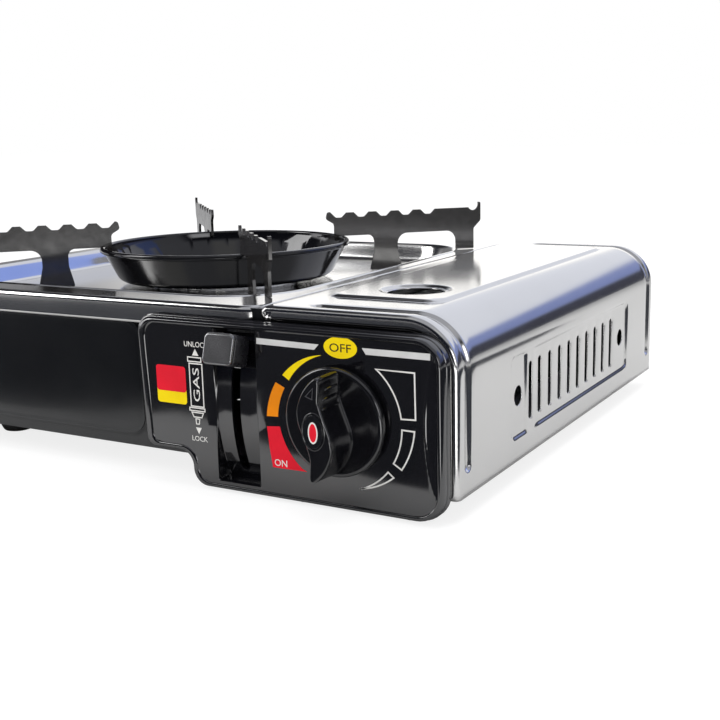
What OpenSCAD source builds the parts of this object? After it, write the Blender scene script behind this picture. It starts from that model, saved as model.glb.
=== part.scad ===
// Butane cassette stove: a pressed steel case with a tray and burner on the left,
// and a cartridge bay with a hinged cover, a control panel and a regulator on the right.
// Millimetres. X runs to the right, Y to the back, Z up. Z = 0 is the table.
// Every module draws around the middle of the case; at_body() then moves it in Y, so
// that the origin lies under the middle of the whole stove, knob and screws included.

/* [Case] */
// Width over the top plate's left skirt and the cover's right side
case_w = 343; // [330:1:370]
// Depth over the front and rear skirts
case_d = 275; // [265:1:300]
// Height of the top plate above the table
plate_z = 83; // [82:1:92]
// Height of the case's underside above the table
floor_z = 12; // [9:1:12]
// Thickness of the pressed sheet
sheet = 0.8; // [0.6:0.1:0.9]
// Width of the cartridge cover
lid_w = 93.5; // [92:0.5:100]
// Radius of the cover's long upper bend
lid_r = 23; // [18:1:26]

/* [Tray] */
// Depth of the tray pressed into the top plate
tray_depth = 10; // [8:1:11]
// Width of the top plate's front margin
margin = 20.5; // [16:0.5:22]
// Radius of the tray's corners
tray_r = 35; // [28:1:40]

/* [Pan supports] */
// Height of the pan rest above the top plate
rest_h = 25.2; // [23:0.1:27]
// Length of a support's inner tip past the middle of the bowl's rim
tip_in = 10.1; // [8:0.1:11]
// Distance in X from a support's outer tip to the cover's edge
tip_gap = 6.3; // [5:0.1:8]
// Turn of the four supports from the case's diagonals
support_turn = -1.1; // [-2:0.1:2]
// Thickness of the support sheet
support_t = 1.6; // [1.2:0.1:2]

/* [Bowl and burner] */
// Radius of the bowl's rim
bowl_r = 70; // [69:0.5:72]
// Height of the bowl's rim above the top plate
rim_h = 11.5; // [9.5:0.5:12]
// Radius of the burner head
burner_r = 32; // [28:1:33]

/* [Controls] */
// Distance of the panel's face in front of the case
panel_out = 8.5; // [7:0.5:10]
// Radius of the knob's disc
knob_r = 23.2; // [20:0.2:24]
// Distance of the knob's blade in front of the case
knob_out = 27.5; // [25:0.5:32]
// Angle from the lever's upper stop to its lower stop
lever_swing = 31.4; // [28:0.1:33]
// Rise of the igniter cam from rest to its far end
cam_rise = 8; // [6:0.5:8]

/* [Hidden] */
$fn = 64;

// Clearance of a fixed piece in its seat, of a pin that turns in a bore, and of a
// piece that slides or swings past another
seat_fit = 0.03;
run_fit = 0.06;
free_gap = 0.3;
// Overshoot of a cut past the face that it opens
past = 1;

// Outer faces of the case
x_right = case_w / 2;
y_front = -case_d / 2;
y_back = case_d / 2;
lid_x = x_right - lid_w;
lid_z = plate_z + 1;
skirt_h = 6;
skirt_z = plate_z - skirt_h;
screw_head = 1.2;

// The stove reaches from the knob's blade to the rear screw heads
y_knob_front = y_front - knob_out;
y_rear_heads = y_back + screw_head;
body_cy = -(y_knob_front + y_rear_heads) / 2;

// Lower pan: its walls stand inside the skirts and the cover
wall_gap = 1.5;
pan_x0 = -x_right + sheet;
pan_x1 = x_right - sheet - 2.4;
pan_y0 = y_front + sheet + wall_gap;
pan_y1 = -pan_y0;
pan_top = plate_z - sheet;
pan_r = 10;
rim_w = 7;
bay_wall_z = plate_z - 3;
bay_lip_z = floor_z + 10;
floor_top = floor_z + sheet;
emboss = 1.6;
emboss_x0 = -x_right + 11;
emboss_x1 = lid_x - 68.6;
emboss_z0 = floor_z + 6.5;
emboss_z1 = plate_z - 9;
emboss_r = 9;

// Cover: hinge axis at the middle of the rolled left edge
curl_r = 3.2;
hinge_x = lid_x + curl_r;
hinge_z = lid_z - curl_r;
lid_low = floor_z - 2.5;
lid_flange = 6;
ear_r = curl_r - sheet - free_gap;
pin_neck_r = 1.2;

// Raised field, sight hole, grooves and vent field of the cover
field_h = 1.2;
field_x0 = lid_x + 14;
field_x1 = x_right - 24;
field_y0 = y_front + 33.5;
field_y1 = y_back - 24.5;
sight_x = x_right - 48.5;
sight_y = y_front + 59.5;
sight_r = 13;
sight_ring_r = 18;
groove_w = 5;
groove_at = 6.7;
groove_depth = 1;
vent_y0 = y_front + 55.5;
vent_y1 = y_back - 49.5;
vent_z0 = floor_z + 8.5;
vent_z1 = plate_z - 25.3;
vent_depth = 1.6;
slot_count = 10;
slot_w = 4.4;
slot_len = 26.7;
slot_pitch = (vent_y1 - vent_y0 - 50) / (slot_count - 1);
slot_y0 = vent_y0 + 21;
slot_z0 = vent_z0 + 5;
vent_hole_r = 4.6;
vent_hole_y = [vent_y0 + 9.5, vent_y1 - 10.5];

// Tray and burner
burner_x = -x_right + 133;
burner_y = -3;
tray_x0 = -x_right + 14.5;
tray_x1 = lid_x - 13;
tray_y0 = y_front + margin;
tray_y1 = y_back - margin - 5;
tray_slope = 4;
tray_z = plate_z - tray_depth;
tray_hole_r = 41;
plate_edge = lid_x - 0.6;
plate_r = 12;

// Bowl
rim_z = plate_z + rim_h;
bowl_z = tray_z + 2.2;
bowl_t = 1;
bowl_foot_r = bowl_r - 9;

// Pan supports, in distance from the burner's axis and height
rest_z = plate_z + rest_h;
support_in = bowl_r - tip_in;
support_out = (lid_x - tip_gap - burner_x) / cos(45);
arm_depth = 13.6;
tooth_pitch = 13.75;
tooth_first = support_in + 7.5;
tooth_last = support_out - 30;
tooth_depth = 2.8;
foot_gap = 0.3;
leg_in = bowl_r + 26;
leg_out = support_out - 10;

// Cartridge line, regulator and knob
cart_x = x_right - 47.5;
cradle_r = 35;
cart_z = floor_top + cradle_r;
knob_x = cart_x - 3.4;
knob_z = cart_z - 8.1;
spindle_r = 3;

// Control panel: its neck passes the cover's flange, its body stands in front of it
panel_y = y_front - panel_out;
panel_step_y = panel_y + 4;
panel_neck_y = y_front - 0.6;
panel_x0 = lid_x - 65.2;
panel_x1 = x_right - 2.6;
panel_z0 = 0.7;
panel_z1 = skirt_z + 0.6;
panel_lean = 2.2;
panel_step_z = floor_z + 4.3;
panel_notch_x = panel_x0 + 29.2;
panel_wall = 2.2;
panel_bevel = 1.8;
panel_side = 3.6;
panel_neck_in = panel_x1 - x_right + lid_flange + 0.6;
panel_inside = panel_neck_in + panel_wall;
panel_neck_r = lid_r - lid_flange + panel_neck_in;
pad_h = panel_z0;

// Lever, its trough and the pusher
trough_r = 80;
trough_wall = 1.8;
trough_lip = 1.2;
lever_x = lid_x - 9.4;
lever_y = panel_y + trough_r;
lever_z = (skirt_z + 8) / 2;
trough_x0 = lever_x - 10.8;
trough_x1 = lever_x + 12;
lever_t = 2.5;
lever_half = lever_swing / 2;
link_r = 22;
link_pin_r = 2;
pivot_r = 2.5;
hub_r = 6;
grip_reach = trough_r + 14;
grip_half_w = 7.7;
grip_half_h = 6.8;
grip_corner = 2.5;
cap_t = 2.5;
arm_half = 4;
partition_x = lid_x - 2.4;
strip_x = lid_x - 0.4;
strip_t = 1.6;
strip_half = 4.5;
strip_z0 = lever_z + link_r - strip_half;
strip_z1 = lever_z + link_r + strip_half;
guide_front_y = lever_y + 24;
paddle_y = y_back - 38;

// Igniter above the spindle
igniter_r = 5;
cam_t = 5;
cam_y = pan_y0 + sheet + igniter_r + 1 - cam_t / 2;
cam_r = 8;
cam_turn = 125;
plunger_r = 2;
igniter_y = cam_y + cam_t / 2;
igniter_z = knob_z + cam_r + cam_rise + 2;
igniter_h = 18;

// Regulator
reg_y0 = cam_y + cam_t + 6;
reg_y1 = reg_y0 + 24;
guide_y = reg_y1 + 1;
inlet_y = reg_y1 + 8;
inlet_r = 4.6;
outlet_z = knob_z - 8;
pipe_r = 3;
pipe_bend = 4;
pipe_y = reg_y0 + 11;
pipe_low_z = floor_top + 6;

// Gas line under the tray
mix_z = tray_z - 17;
mix_r = 9;
jet_x = burner_x + 84;
base_r = 30;
burner_base_z = mix_z - 12;

// Electrode beside the burner head
electrode_angle = -60;
electrode_d = burner_r + 5;
electrode_x = burner_x + electrode_d * cos(electrode_angle);
electrode_y = burner_y + electrode_d * sin(electrode_angle);

// The igniter's lead: it rises from the igniter, passes the partition at the
// gate, runs down under the tray and comes up to the electrode
lead_r = 1.25;
lead_start = [knob_x, igniter_y, igniter_z + igniter_h - 3];
lead_gate = [partition_x + sheet / 2, pan_y0 + 10.2, plate_z - 9];
lead_pass = [7, 0, 0];
lead_end = [electrode_x, electrode_y, mix_z - 2];
lead_low = lead_end - [-8, 8, 10];
lead_route = [
    lead_start, lead_start + [0, 0, 1.5], lead_start + [0, 0, 3.8],
    lead_start + [-2.3, 0.2, 6.4], lead_start + [-9.5, 0.9, 7.8],
    (lead_start + [0, 0, 7] + lead_gate) / 2, lead_gate + lead_pass, lead_gate, lead_gate - lead_pass,
    lead_gate + (lead_low - lead_gate) * 0.5 - [0, 0, 2],
    lead_gate + (lead_low - lead_gate) * 0.8 - [0, 0, 1],
    lead_low, lead_end - [0, 0, 8], lead_end - [0, 0, 4], lead_end
];

// Corners of the gas pipe: from the regulator down to the floor, along it,
// and up to the jet holder
pipe_drop_x = cart_x - 38.5;
pipe_up_x = jet_x + 4;
pipe_pass_x = lever_x - 19.1;
pipe_route = [
    [cart_x - 26.5, pipe_y, outlet_z], [pipe_drop_x, pipe_y, outlet_z],
    [pipe_drop_x - 4.5, pipe_y, pipe_low_z], [lever_x - 12, pipe_y, pipe_low_z],
    [pipe_pass_x, pipe_y + 9, pipe_low_z], [pipe_pass_x, lever_y + 25, pipe_low_z],
    [pipe_up_x, burner_y - 18, pipe_low_z], [pipe_up_x, burner_y, mix_z - 22],
    [pipe_up_x, burner_y, mix_z - 8]
];

// Screws: the panel's as X and Z, the top plate's rear ones, the regulator's as Y and Z
screw_r = 1.5;
panel_screw_at = [[panel_x0 + 14, 50], [panel_x1 - 18, 22], [panel_x1 - 18, 64]];
rear_screw_x = [-x_right + 45, burner_x, lid_x - 30];
rear_screw_z = plate_z - 2 * sheet - screw_r - 0.1;
regulator_screw_at = [[-9, 11], [9, 11], [9, -11], [-9, -11]];

// Feet
foot_x = [-x_right + 62, x_right - 30];
foot_y = 105;
foot_r = 9;
foot_stud_r = 3;

// Front view of the knob's blade: half of a leaf that bends like an S, point-symmetric
blade_half = [
    [3.2, 21.4], [2.4, 16.5], [2.3, 12], [3.7, 7], [5.6, 2.2], [7.5, -3], [7.8, -8], [6.3, -13], [3.2, -17.8]
];

// Colours
case_black = [0.06, 0.06, 0.07];
plate_silver = [0.78, 0.78, 0.79];
zinc = [0.66, 0.67, 0.68];
plastic_black = [0.04, 0.04, 0.045];
enamel = [0.02, 0.02, 0.025];
alloy = [0.72, 0.72, 0.71];
brass = [0.78, 0.62, 0.32];
dark_steel = [0.35, 0.35, 0.36];

// ---- helpers -------------------------------------------------------------

// Moves the case's middle so that the whole stove is centred on the origin
module at_body() {
    translate([0, body_cy, 0]) children();
}

// A plan outline between two heights
module xy(z0, z1) {
    translate([0, 0, z0]) linear_extrude(z1 - z0) children();
}

// An outline drawn in X and Z, between two depths
module xz(y0, y1) {
    translate([0, y1, 0]) rotate([90, 0, 0]) linear_extrude(y1 - y0) children();
}

// An outline drawn in Y and Z, between two widths
module yz(x0, x1) {
    translate([x0, 0, 0]) rotate([90, 0, 90]) linear_extrude(x1 - x0) children();
}

// A box between two corners
module block(low, high) {
    translate(low) cube(high - low);
}

// A rectangle with round corners between two corners
module round_rect(x0, y0, x1, y1, r) {
    translate([x0 + r, y0]) square([x1 - x0 - 2 * r, y1 - y0]);
    translate([x0, y0 + r]) square([x1 - x0, y1 - y0 - 2 * r]);
    for (x = [x0 + r, x1 - r])
        for (y = [y0 + r, y1 - r])
            translate([x, y]) circle(r);
}

// A round bar along X, and one along Y
module rod_x(x0, x1, y, z, r) {
    translate([x0, y, z]) rotate([0, 90, 0]) cylinder(r = r, h = x1 - x0);
}

module rod_y(y0, y1, x, z, r) {
    translate([x, y1, z]) rotate([90, 0, 0]) cylinder(r = r, h = y1 - y0);
}

// Points that round the corner b of a path a-b-c with radius r
function corner(a, b, c, r, n = 8) =
    let (
        u = (a - b) / norm(a - b),
        v = (c - b) / norm(c - b),
        turn = acos(u * v),
        t = r / tan(turn / 2),
        m = b + (u + v) / norm(u + v) * r / sin(turn / 2),
        s = b + u * t - m,
        e = b + v * t - m,
        a0 = atan2(s[1], s[0]),
        sweep = (atan2(e[1], e[0]) - a0 + 540) % 360 - 180
    )
    [for (i = [0:n]) m + r * [cos(a0 + sweep * i / n), sin(a0 + sweep * i / n)]];

// A closed path with each corner rounded by its own radius
function round_path(p, r) =
    let (n = len(p))
    [for (i = [0:n - 1])
        each (r[i] > 0 ? corner(p[(i + n - 1) % n], p[i], p[(i + 1) % n], r[i]) : [p[i]])];

// ---- case ----------------------------------------------------------------

// Front elevation of the raised field on the pan's front, grown by g
module emboss_outline(g) {
    round_rect(emboss_x0 - g, emboss_z0 - g, emboss_x1 + g, emboss_z1 + g, emboss_r + g);
}

module base_pan() {
    color(case_black) at_body() difference() {
        union() {
            difference() {
                union() {
                    xy(floor_z, pan_top) round_rect(pan_x0, pan_y0, pan_x1, pan_y1, pan_r);
                    xz(pan_y0 - emboss, pan_y0 + sheet) emboss_outline(0);
                }
                pan_inside();
                pan_bay_cuts();
                xz(pan_y0 - emboss + sheet, pan_y0 + sheet + past) emboss_outline(-sheet);
            }
            hinge_ears();
        }
        pan_holes();
    }
}

// The hollow of the pan, under a rim that turns inwards
module pan_inside() {
    xy(floor_top, pan_top - sheet)
        round_rect(pan_x0 + sheet, pan_y0 + sheet, pan_x1 - sheet, pan_y1 - sheet, pan_r - sheet);
    xy(floor_top, pan_top + past)
        round_rect(pan_x0 + rim_w, pan_y0 + rim_w, lid_x + rim_w, pan_y1 - rim_w, pan_r - sheet);
}

// The bay has no rim, lower end walls, and only a lip on its right
module pan_bay_cuts() {
    block([partition_x - sheet, pan_y0 + sheet, floor_top + pan_r],
          [pan_x1 - pan_r, pan_y1 - sheet, pan_top + past]);
    block([pan_x1 - pan_r - past, pan_y0 - past, bay_lip_z],
          [x_right, pan_y1 + past, pan_top + past]);
    block([plate_edge, pan_y0 - past, bay_wall_z],
          [x_right, pan_y1 + past, pan_top + past]);
}

// Small ears on the end walls that hold the hinge pins
module hinge_ears() {
    for (y = [pan_y0, pan_y1 - sheet])
        xz(y, y + sheet) {
            translate([hinge_x, hinge_z]) circle(ear_r);
            translate([hinge_x - ear_r, bay_wall_z - 4]) square([2 * ear_r, hinge_z - bay_wall_z + 4]);
        }
}

module pan_holes() {
    rod_y(pan_y0 - past, pan_y1 + past, hinge_x, hinge_z, pin_neck_r + seat_fit);
    rod_y(pan_y0 - past, cam_y, knob_x, knob_z, spindle_r + 2);
    block([trough_x0 + 1, pan_y0 - past, floor_top + 2], [trough_x1 - 1, cam_y, panel_z1 - 5.6]);
    for (p = panel_screw_at)
        rod_y(pan_y0 - past, cam_y, p[0], p[1], screw_r + 0.2);
    for (x = rear_screw_x)
        rod_y(pan_y1 - sheet - past, pan_y1 + past, x, rear_screw_z, screw_r + seat_fit);
    for (x = foot_x)
        for (y = [-foot_y, foot_y])
            translate([x, y, floor_z - past]) cylinder(r = foot_stud_r + seat_fit, h = sheet + 2 * past);
    // Air slots in the floor around the burner, and in the rear wall
    for (x = [-1.5:1:1.5])
        for (y = [-44, 24])
            xy(floor_z - past, floor_top + past)
                round_rect(burner_x + 26 * x - 8, y, burner_x + 26 * x + 8, y + 5, 2);
    for (i = [0:5])
        xz(pan_y1 - sheet - past, pan_y1 + past)
            round_rect(burner_x - 60 + 20 * i, 30, burner_x - 48 + 20 * i, 35, 2);
}

module feet() {
    color([0.1, 0.1, 0.1]) at_body()
        for (x = foot_x)
            for (y = [-foot_y, foot_y])
                translate([x, y, 0]) {
                    cylinder(r1 = foot_r - 1.5, r2 = foot_r, h = 3);
                    translate([0, 0, 3]) cylinder(r = foot_r, h = floor_z - 3);
                    translate([0, 0, floor_z - past]) cylinder(r = foot_stud_r, h = past + sheet + 2);
                }
}

// The tray's outline in plan, grown by g, as a thin slab for a hull
module tray_slab(g, z) {
    r = tray_r + g;
    xy(z, z + 0.01) round_rect(tray_x0 - g, tray_y0 - g, tray_x1 + g, tray_y1 + g, r, $fn = 32);
}

module top_plate() {
    color(plate_silver) at_body() difference() {
        union() {
            difference() {
                xy(skirt_z, plate_z) plate_plan(0);
                xy(skirt_z - past, plate_z - sheet) plate_plan(sheet);
            }
            hull() {
                tray_slab(sheet, plate_z - sheet);
                tray_slab(sheet - tray_slope, tray_z - sheet);
            }
        }
        hull() {
            tray_slab(0, plate_z + 0.1);
            tray_slab(-tray_slope, tray_z);
        }
        translate([burner_x, burner_y, tray_z - 2 * past]) cylinder(r = tray_hole_r, h = 4 * past);
        for (x = rear_screw_x)
            rod_y(y_back - sheet - past, y_back + past, x, rear_screw_z, screw_r + 0.2);
    }
}

// Plan of the top plate, inset by d on the three sides that have a skirt
module plate_plan(d) {
    intersection() {
        round_rect(-x_right + d, y_front + d, plate_edge + 2 * plate_r, y_back - d, plate_r - d);
        translate([-x_right, y_front]) square([plate_edge + x_right + (d > 0 ? past : 0), case_d]);
    }
}

module top_plate_screws() {
    color(zinc) at_body()
        for (x = rear_screw_x) {
            rod_y(y_back, y_back + screw_head, x, rear_screw_z, 2.6);
            rod_y(pan_y1 - 5, y_back + 0.5, x, rear_screw_z, screw_r);
        }
}

// Upright sheet between the burner's space and the bay
module partition() {
    x0 = partition_x;
    x1 = partition_x + sheet;
    color(zinc) at_body() difference() {
        union() {
            block([x0, pan_y0 + sheet, floor_top], [x1, pan_y1 - sheet, pan_top]);
            block([x0, pan_y0 + 20, floor_top], [x1 + 7, pan_y1 - 20, floor_top + sheet]);
            block([x1 - 8, tray_y0 + tray_r, pan_top - sheet], [x1, tray_y1 - tray_r, pan_top]);
        }
        // Window for the lever's link pin
        block([x0 - past, lever_y - 13, lever_z + link_r - 8],
              [x1 + past, lever_y + 13, lever_z + link_r + 5]);
        rod_x(x0 - past, x1 + past, lever_y, lever_z, pivot_r + seat_fit);
        rod_x(x0 - past, x1 + past, pipe_y, pipe_low_z, pipe_r + 2);
        rod_x(x0 - past, x1 + past, lead_gate[1], lead_gate[2], lead_r + 3);
        // Heat slots beside the burner
        for (y = [-10:26:68])
            yz(x0 - past, x1 + past) round_rect(y, 30, y + 18, 36, 2.5);
        // Low opening that lets air in behind the regulator
        yz(x0 - past, x1 + past) round_rect(-40, 20, -16, 30, 3);
    }
}

module hinge_pins() {
    color(zinc) at_body()
        for (m = [0, 1]) mirror([0, m, 0]) {
            rod_y(pan_y0 + sheet, pan_y0 + 15, hinge_x, hinge_z, curl_r - sheet - run_fit);
            rod_y(pan_y0, pan_y0 + sheet, hinge_x, hinge_z, pin_neck_r);
            rod_y(pan_y0 - 1.1, pan_y0, hinge_x, hinge_z, 1.9);
        }
}

// ---- cover ---------------------------------------------------------------

// Section of the cover's outer shape in X and Z, inset by d; the two open
// ends run on by over
module lid_area(d, over = 0) {
    cx = x_right - lid_r;
    cz = lid_z - lid_r;
    x0 = hinge_x - over;
    z0 = lid_low - over;
    translate([x0, z0]) square([cx - x0, lid_z - d - z0]);
    translate([x0, z0]) square([x_right - d - x0, cz - z0]);
    translate([cx, cz]) circle(lid_r - d);
}

// The band of the section between two insets
module lid_band(d0, d1) {
    difference() {
        lid_area(d0);
        lid_area(d1, past);
    }
}

// The frame that turns in at each end
module lid_end() {
    difference() {
        union() {
            lid_area(0);
            translate([hinge_x, hinge_z]) circle(curl_r);
        }
        lid_area(lid_flange, 2 * curl_r);
    }
}

// Where a groove runs, in X and Z: not at the hinge, nor near the lower edge
module groove_limit() {
    round_rect(field_x0 + 6, lid_low + 10.5, x_right + 10, lid_z + 10, 1);
}

module lid() {
    color(plate_silver) at_body() difference() {
        union() {
            xz(y_front, y_back) lid_band(0, sheet);
            xz(y_front, y_front + sheet) lid_end();
            xz(y_back - sheet, y_back) lid_end();
            // Rolled edge around the hinge pins
            xz(pan_y0 + sheet + 0.8, pan_y1 - sheet - 0.8) translate([hinge_x, hinge_z]) circle(curl_r);
            // Backs of the grooves, of the vent field and of the raised field
            for (m = [0, 1]) mirror([0, m, 0])
                xz(y_front + groove_at - 1, y_front + groove_at + groove_w + 1)
                    intersection() {
                        lid_band(sheet / 2, sheet + groove_depth);
                        groove_limit();
                    }
            yz(x_right - sheet - vent_depth, x_right - sheet / 2) vent_outline(1);
            xy(lid_z - sheet / 2, lid_z + field_h)
                round_rect(field_x0, field_y0, field_x1, field_y1, 6);
        }
        // Bore of the rolled edge
        rod_y(pan_y0 + sheet, pan_y1 - sheet, hinge_x, hinge_z, curl_r - sheet);
        for (m = [0, 1]) mirror([0, m, 0])
            xz(y_front + groove_at, y_front + groove_at + groove_w)
                intersection() {
                    lid_band(-1, groove_depth);
                    translate([1, 1]) groove_limit();
                }
        // Underside of the raised field
        xy(lid_z - 2 * sheet, lid_z + field_h - sheet)
            round_rect(field_x0 + sheet, field_y0 + sheet, field_x1 - sheet, field_y1 - sheet, 5);
        lid_vents();
        sight_hole();
    }
    color(plate_silver) at_body() sight_ring();
}

// Elevation of the vent field in Y and Z, grown by g
module vent_outline(g) {
    round_rect(vent_y0 - g, vent_z0 - g, vent_y1 + g, vent_z1 + g, 4 + g);
}

module lid_vents() {
    yz(x_right - vent_depth, x_right + past) vent_outline(0);
    for (i = [0:slot_count - 1])
        yz(x_right - 4, x_right + past) {
            y = slot_y0 + i * slot_pitch;
            round_rect(y, slot_z0, y + slot_w, slot_z0 + slot_len, slot_w / 2 - 0.1);
        }
    for (y = vent_hole_y)
        rod_x(x_right - 4, x_right + past, y, (vent_z0 + vent_z1) / 2, vent_hole_r);
}

module sight_hole() {
    translate([sight_x, sight_y, lid_z - 2]) cylinder(r = sight_ring_r, h = 4);
}

// Dished ring around the sight hole
module sight_ring() {
    translate([sight_x, sight_y, 0]) difference() {
        translate([0, 0, lid_z - sheet]) cylinder(r = sight_ring_r, h = field_h + sheet);
        translate([0, 0, lid_z - 2]) cylinder(r = sight_r, h = 5);
        translate([0, 0, lid_z]) cylinder(r1 = sight_ring_r - 2.5, r2 = sight_ring_r - 1, h = field_h + 0.01);
    }
}

// ---- pan supports and bowl -----------------------------------------------

module at_burner(z = 0) {
    at_body() translate([burner_x, burner_y, z]) children();
}

module drip_bowl() {
    roll = 1.5;
    wall = round_path(
        [[tray_hole_r, bowl_z], [bowl_foot_r, bowl_z], [bowl_r - 0.6, rim_z - 2 * roll],
         [bowl_r + roll, rim_z - 2 * roll], [bowl_r + roll, rim_z], [bowl_r - roll, rim_z],
         [bowl_r - roll - 0.1, rim_z - 2 * roll], [bowl_foot_r - 1, bowl_z + bowl_t],
         [tray_hole_r + bowl_t, bowl_z + bowl_t], [tray_hole_r + bowl_t, bowl_z + 3],
         [tray_hole_r, bowl_z + 3]],
        [0, 5, 0, 1, 1.4, 1.4, 0, 4, 0, 0, 0]);
    color(enamel) at_burner() rotate_extrude($fn = 96) polygon(wall);
}

// Side view of a pan support: distance from the burner's axis, then height
module support_outline() {
    z = rest_z;
    under = z - arm_depth;
    low = tray_z + foot_gap;
    foot = plate_z + foot_gap;
    r0 = support_in;
    r1 = support_out;
    // The inner tip is a nub; its root hooks in behind the bowl's rim
    edge = [
        [r0 + 0.6, z + 0.6], [r0 + 3.4, z + 0.6], [r0 + 4.2, z], [r1 - 3.2, z], [r1 - 2.2, z + 3],
        [r1, z + 3],
        [r1, z - 8], [leg_out + 5.5, under + 1], [leg_out + 5.5, foot], [leg_out - 5.8, foot],
        [leg_out - 5.8, under], [leg_in + 7.2, under], [leg_in + 7.2, tray_z + 12],
        [leg_in + 10, low], [leg_in - 10, low], [leg_in - 7.2, tray_z + 12], [leg_in - 7.2, rim_z],
        [bowl_r - 3, rim_z], [bowl_r - 3, rim_z - 2.6], [r0 + 4.6, rim_z - 2.6], [r0 + 4.6, z - 6.6],
        [r0 - 0.4, z - 3.6]
    ];
    radii = [1.5, 1.2, 0, 0, 0.8, 0.9, 2.5, 2, 0.6, 0.6, 6, 6, 5, 1, 1, 5, 4, 0.5, 0.5, 0.5, 2.5, 1.8];
    valley = round_path(
        [[-5.7, 1], [-1.9, -tooth_depth], [1.9, -tooth_depth], [5.7, 1]],
        [0, 2, 2, 0]);
    difference() {
        polygon(round_path(edge, radii));
        for (r = [tooth_first:tooth_pitch:tooth_last])
            translate([r, z]) polygon(valley);
        translate([r1 - 4.8, z + 1.6]) circle(3.4);
    }
}

// One support, standing on the tray and the margin, on one of the case's diagonals
module pan_support(angle) {
    color(enamel) at_burner()
        rotate([0, 0, angle + support_turn]) xz(-support_t / 2, support_t / 2) support_outline();
}

module pan_support_front_right() { pan_support(-45); }
module pan_support_rear_right() { pan_support(45); }
module pan_support_rear_left() { pan_support(135); }
module pan_support_front_left() { pan_support(225); }

// ---- control panel, knob and lever ---------------------------------------

// Front elevation of the panel, inset by d and on its left by side as well: a lower right
// part hangs below the case's floor, and a curved step joins it to the left part
function panel_points(d, side, corner_r) =
    let (x0 = panel_x0 + d + side, notch_x = panel_notch_x + d + side / 3)
    round_path(
        [[x0, panel_z1 - d], [panel_x1 - d, panel_z1 - d], [panel_x1 - d, panel_z0 + d],
         [notch_x, panel_z0 + d], [notch_x, panel_step_z + d], [x0 + panel_lean, panel_step_z + d]],
        [8 - d / 2, corner_r - d, 13 - d, 8 - d / 2, 7 + d / 2, 5 - d / 2]);

module panel_outline(d, side = 0, corner_r = 13) {
    polygon(panel_points(d, side, corner_r));
}

module control_panel() {
    back = pan_y0;
    color(plastic_black) at_body() difference() {
        union() {
            difference() {
                union() {
                    xz(panel_neck_y, back) panel_outline(panel_neck_in, 0, panel_neck_r);
                    xz(panel_step_y, panel_neck_y) panel_outline(0);
                    xz(panel_y, panel_step_y) panel_outline(panel_bevel, panel_side);
                }
                xz(panel_y + panel_wall, back + past) panel_outline(panel_inside, 0, panel_neck_r);
            }
            trough_walls(back);
            for (p = panel_screw_at)
                rod_y(panel_y + panel_wall / 2, back, p[0], p[1], 3.5);
            for (x = [panel_x0 + 86, panel_x1 - 18])
                translate([x, (panel_step_y + panel_neck_y) / 2, 0]) cylinder(r = 1.7, h = pad_h + 1);
        }
        trough_front();
        trough_back(back);
        xz(panel_y - past, back + past)
            round_rect(lever_x - 2.3, lever_z - 30.5, lever_x + 2.3, lever_z + 30.5, 2.2);
        rod_y(panel_y - past, back + past, knob_x, knob_z, spindle_r + 2);
        for (p = panel_screw_at)
            rod_y(panel_y + panel_wall, back + past, p[0], p[1], screw_r + seat_fit);
    }
}

// Block that the trough is cut from
module trough_walls(back) {
    block([trough_x0 - trough_wall, panel_y, panel_z0 + panel_neck_in],
          [trough_x1 + trough_wall, back, panel_z1 - panel_neck_in]);
}

// Space in front of the trough's bulging floor
module trough_front() {
    difference() {
        block([trough_x0, panel_y - past, panel_z0 + panel_neck_in + trough_wall],
              [trough_x1, pan_y0 + past, panel_z1 - panel_bevel - trough_lip]);
        rod_x(trough_x0 - past, trough_x1 + past, lever_y, lever_z, trough_r);
    }
}

// Space behind it
module trough_back(back) {
    intersection() {
        block([trough_x0, panel_y + trough_wall, panel_z0 + panel_inside],
              [trough_x1, back + past, panel_z1 - panel_inside]);
        rod_x(trough_x0 - past, trough_x1 + past, lever_y, lever_z, trough_r - trough_wall);
    }
}

module panel_screws() {
    color(zinc) at_body()
        for (p = panel_screw_at) {
            rod_y(panel_y + panel_wall + 0.5, pan_y0 + sheet, p[0], p[1], screw_r);
            rod_y(pan_y0 + sheet, pan_y0 + sheet + 1.8, p[0], p[1], 2.8);
        }
}

module blade_outline() {
    polygon(concat(blade_half, [for (p = blade_half) [-p[0], -p[1]]]));
}

module knob() {
    disc_back = panel_y - free_gap - 0.1;
    disc_front = disc_back - 3.6;
    color(plastic_black) at_body() translate([knob_x, 0, knob_z]) difference() {
        union() {
            rod_y(disc_front, disc_back, 0, 0, knob_r);
            rod_y(disc_front - 1, disc_front, 0, 0, knob_r - 1.5);
            xz(y_knob_front, disc_front) blade_outline();
            // Three grip ribs on the flank of the blade
            for (i = [0:2])
                block([2, disc_front - 10, 10 + 3.6 * i], [4.6, disc_front - 3, 11.2 + 3.6 * i]);
        }
        // Seat of the emblem, and bore of the spindle
        xz(y_knob_front - past, y_knob_front + 0.6) emblem_outline(0);
        rod_y(y_knob_front + 5, disc_back + past, 0, 0, spindle_r + seat_fit);
    }
}

// Ellipse on the blade's face
module emblem_outline(g) {
    polygon([for (a = [0:12:348]) [(4.6 - g) * cos(a), (7 - g) * sin(a)]]);
}

module knob_emblem() {
    color([0.75, 0.05, 0.05]) at_body() translate([knob_x, 0, knob_z])
        xz(y_knob_front + 0.1, y_knob_front + 0.6) emblem_outline(0.1);
}

module valve_spindle() {
    color(brass) at_body() rod_y(y_knob_front + 5.5, reg_y0 + 12, knob_x, knob_z, spindle_r);
}

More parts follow.
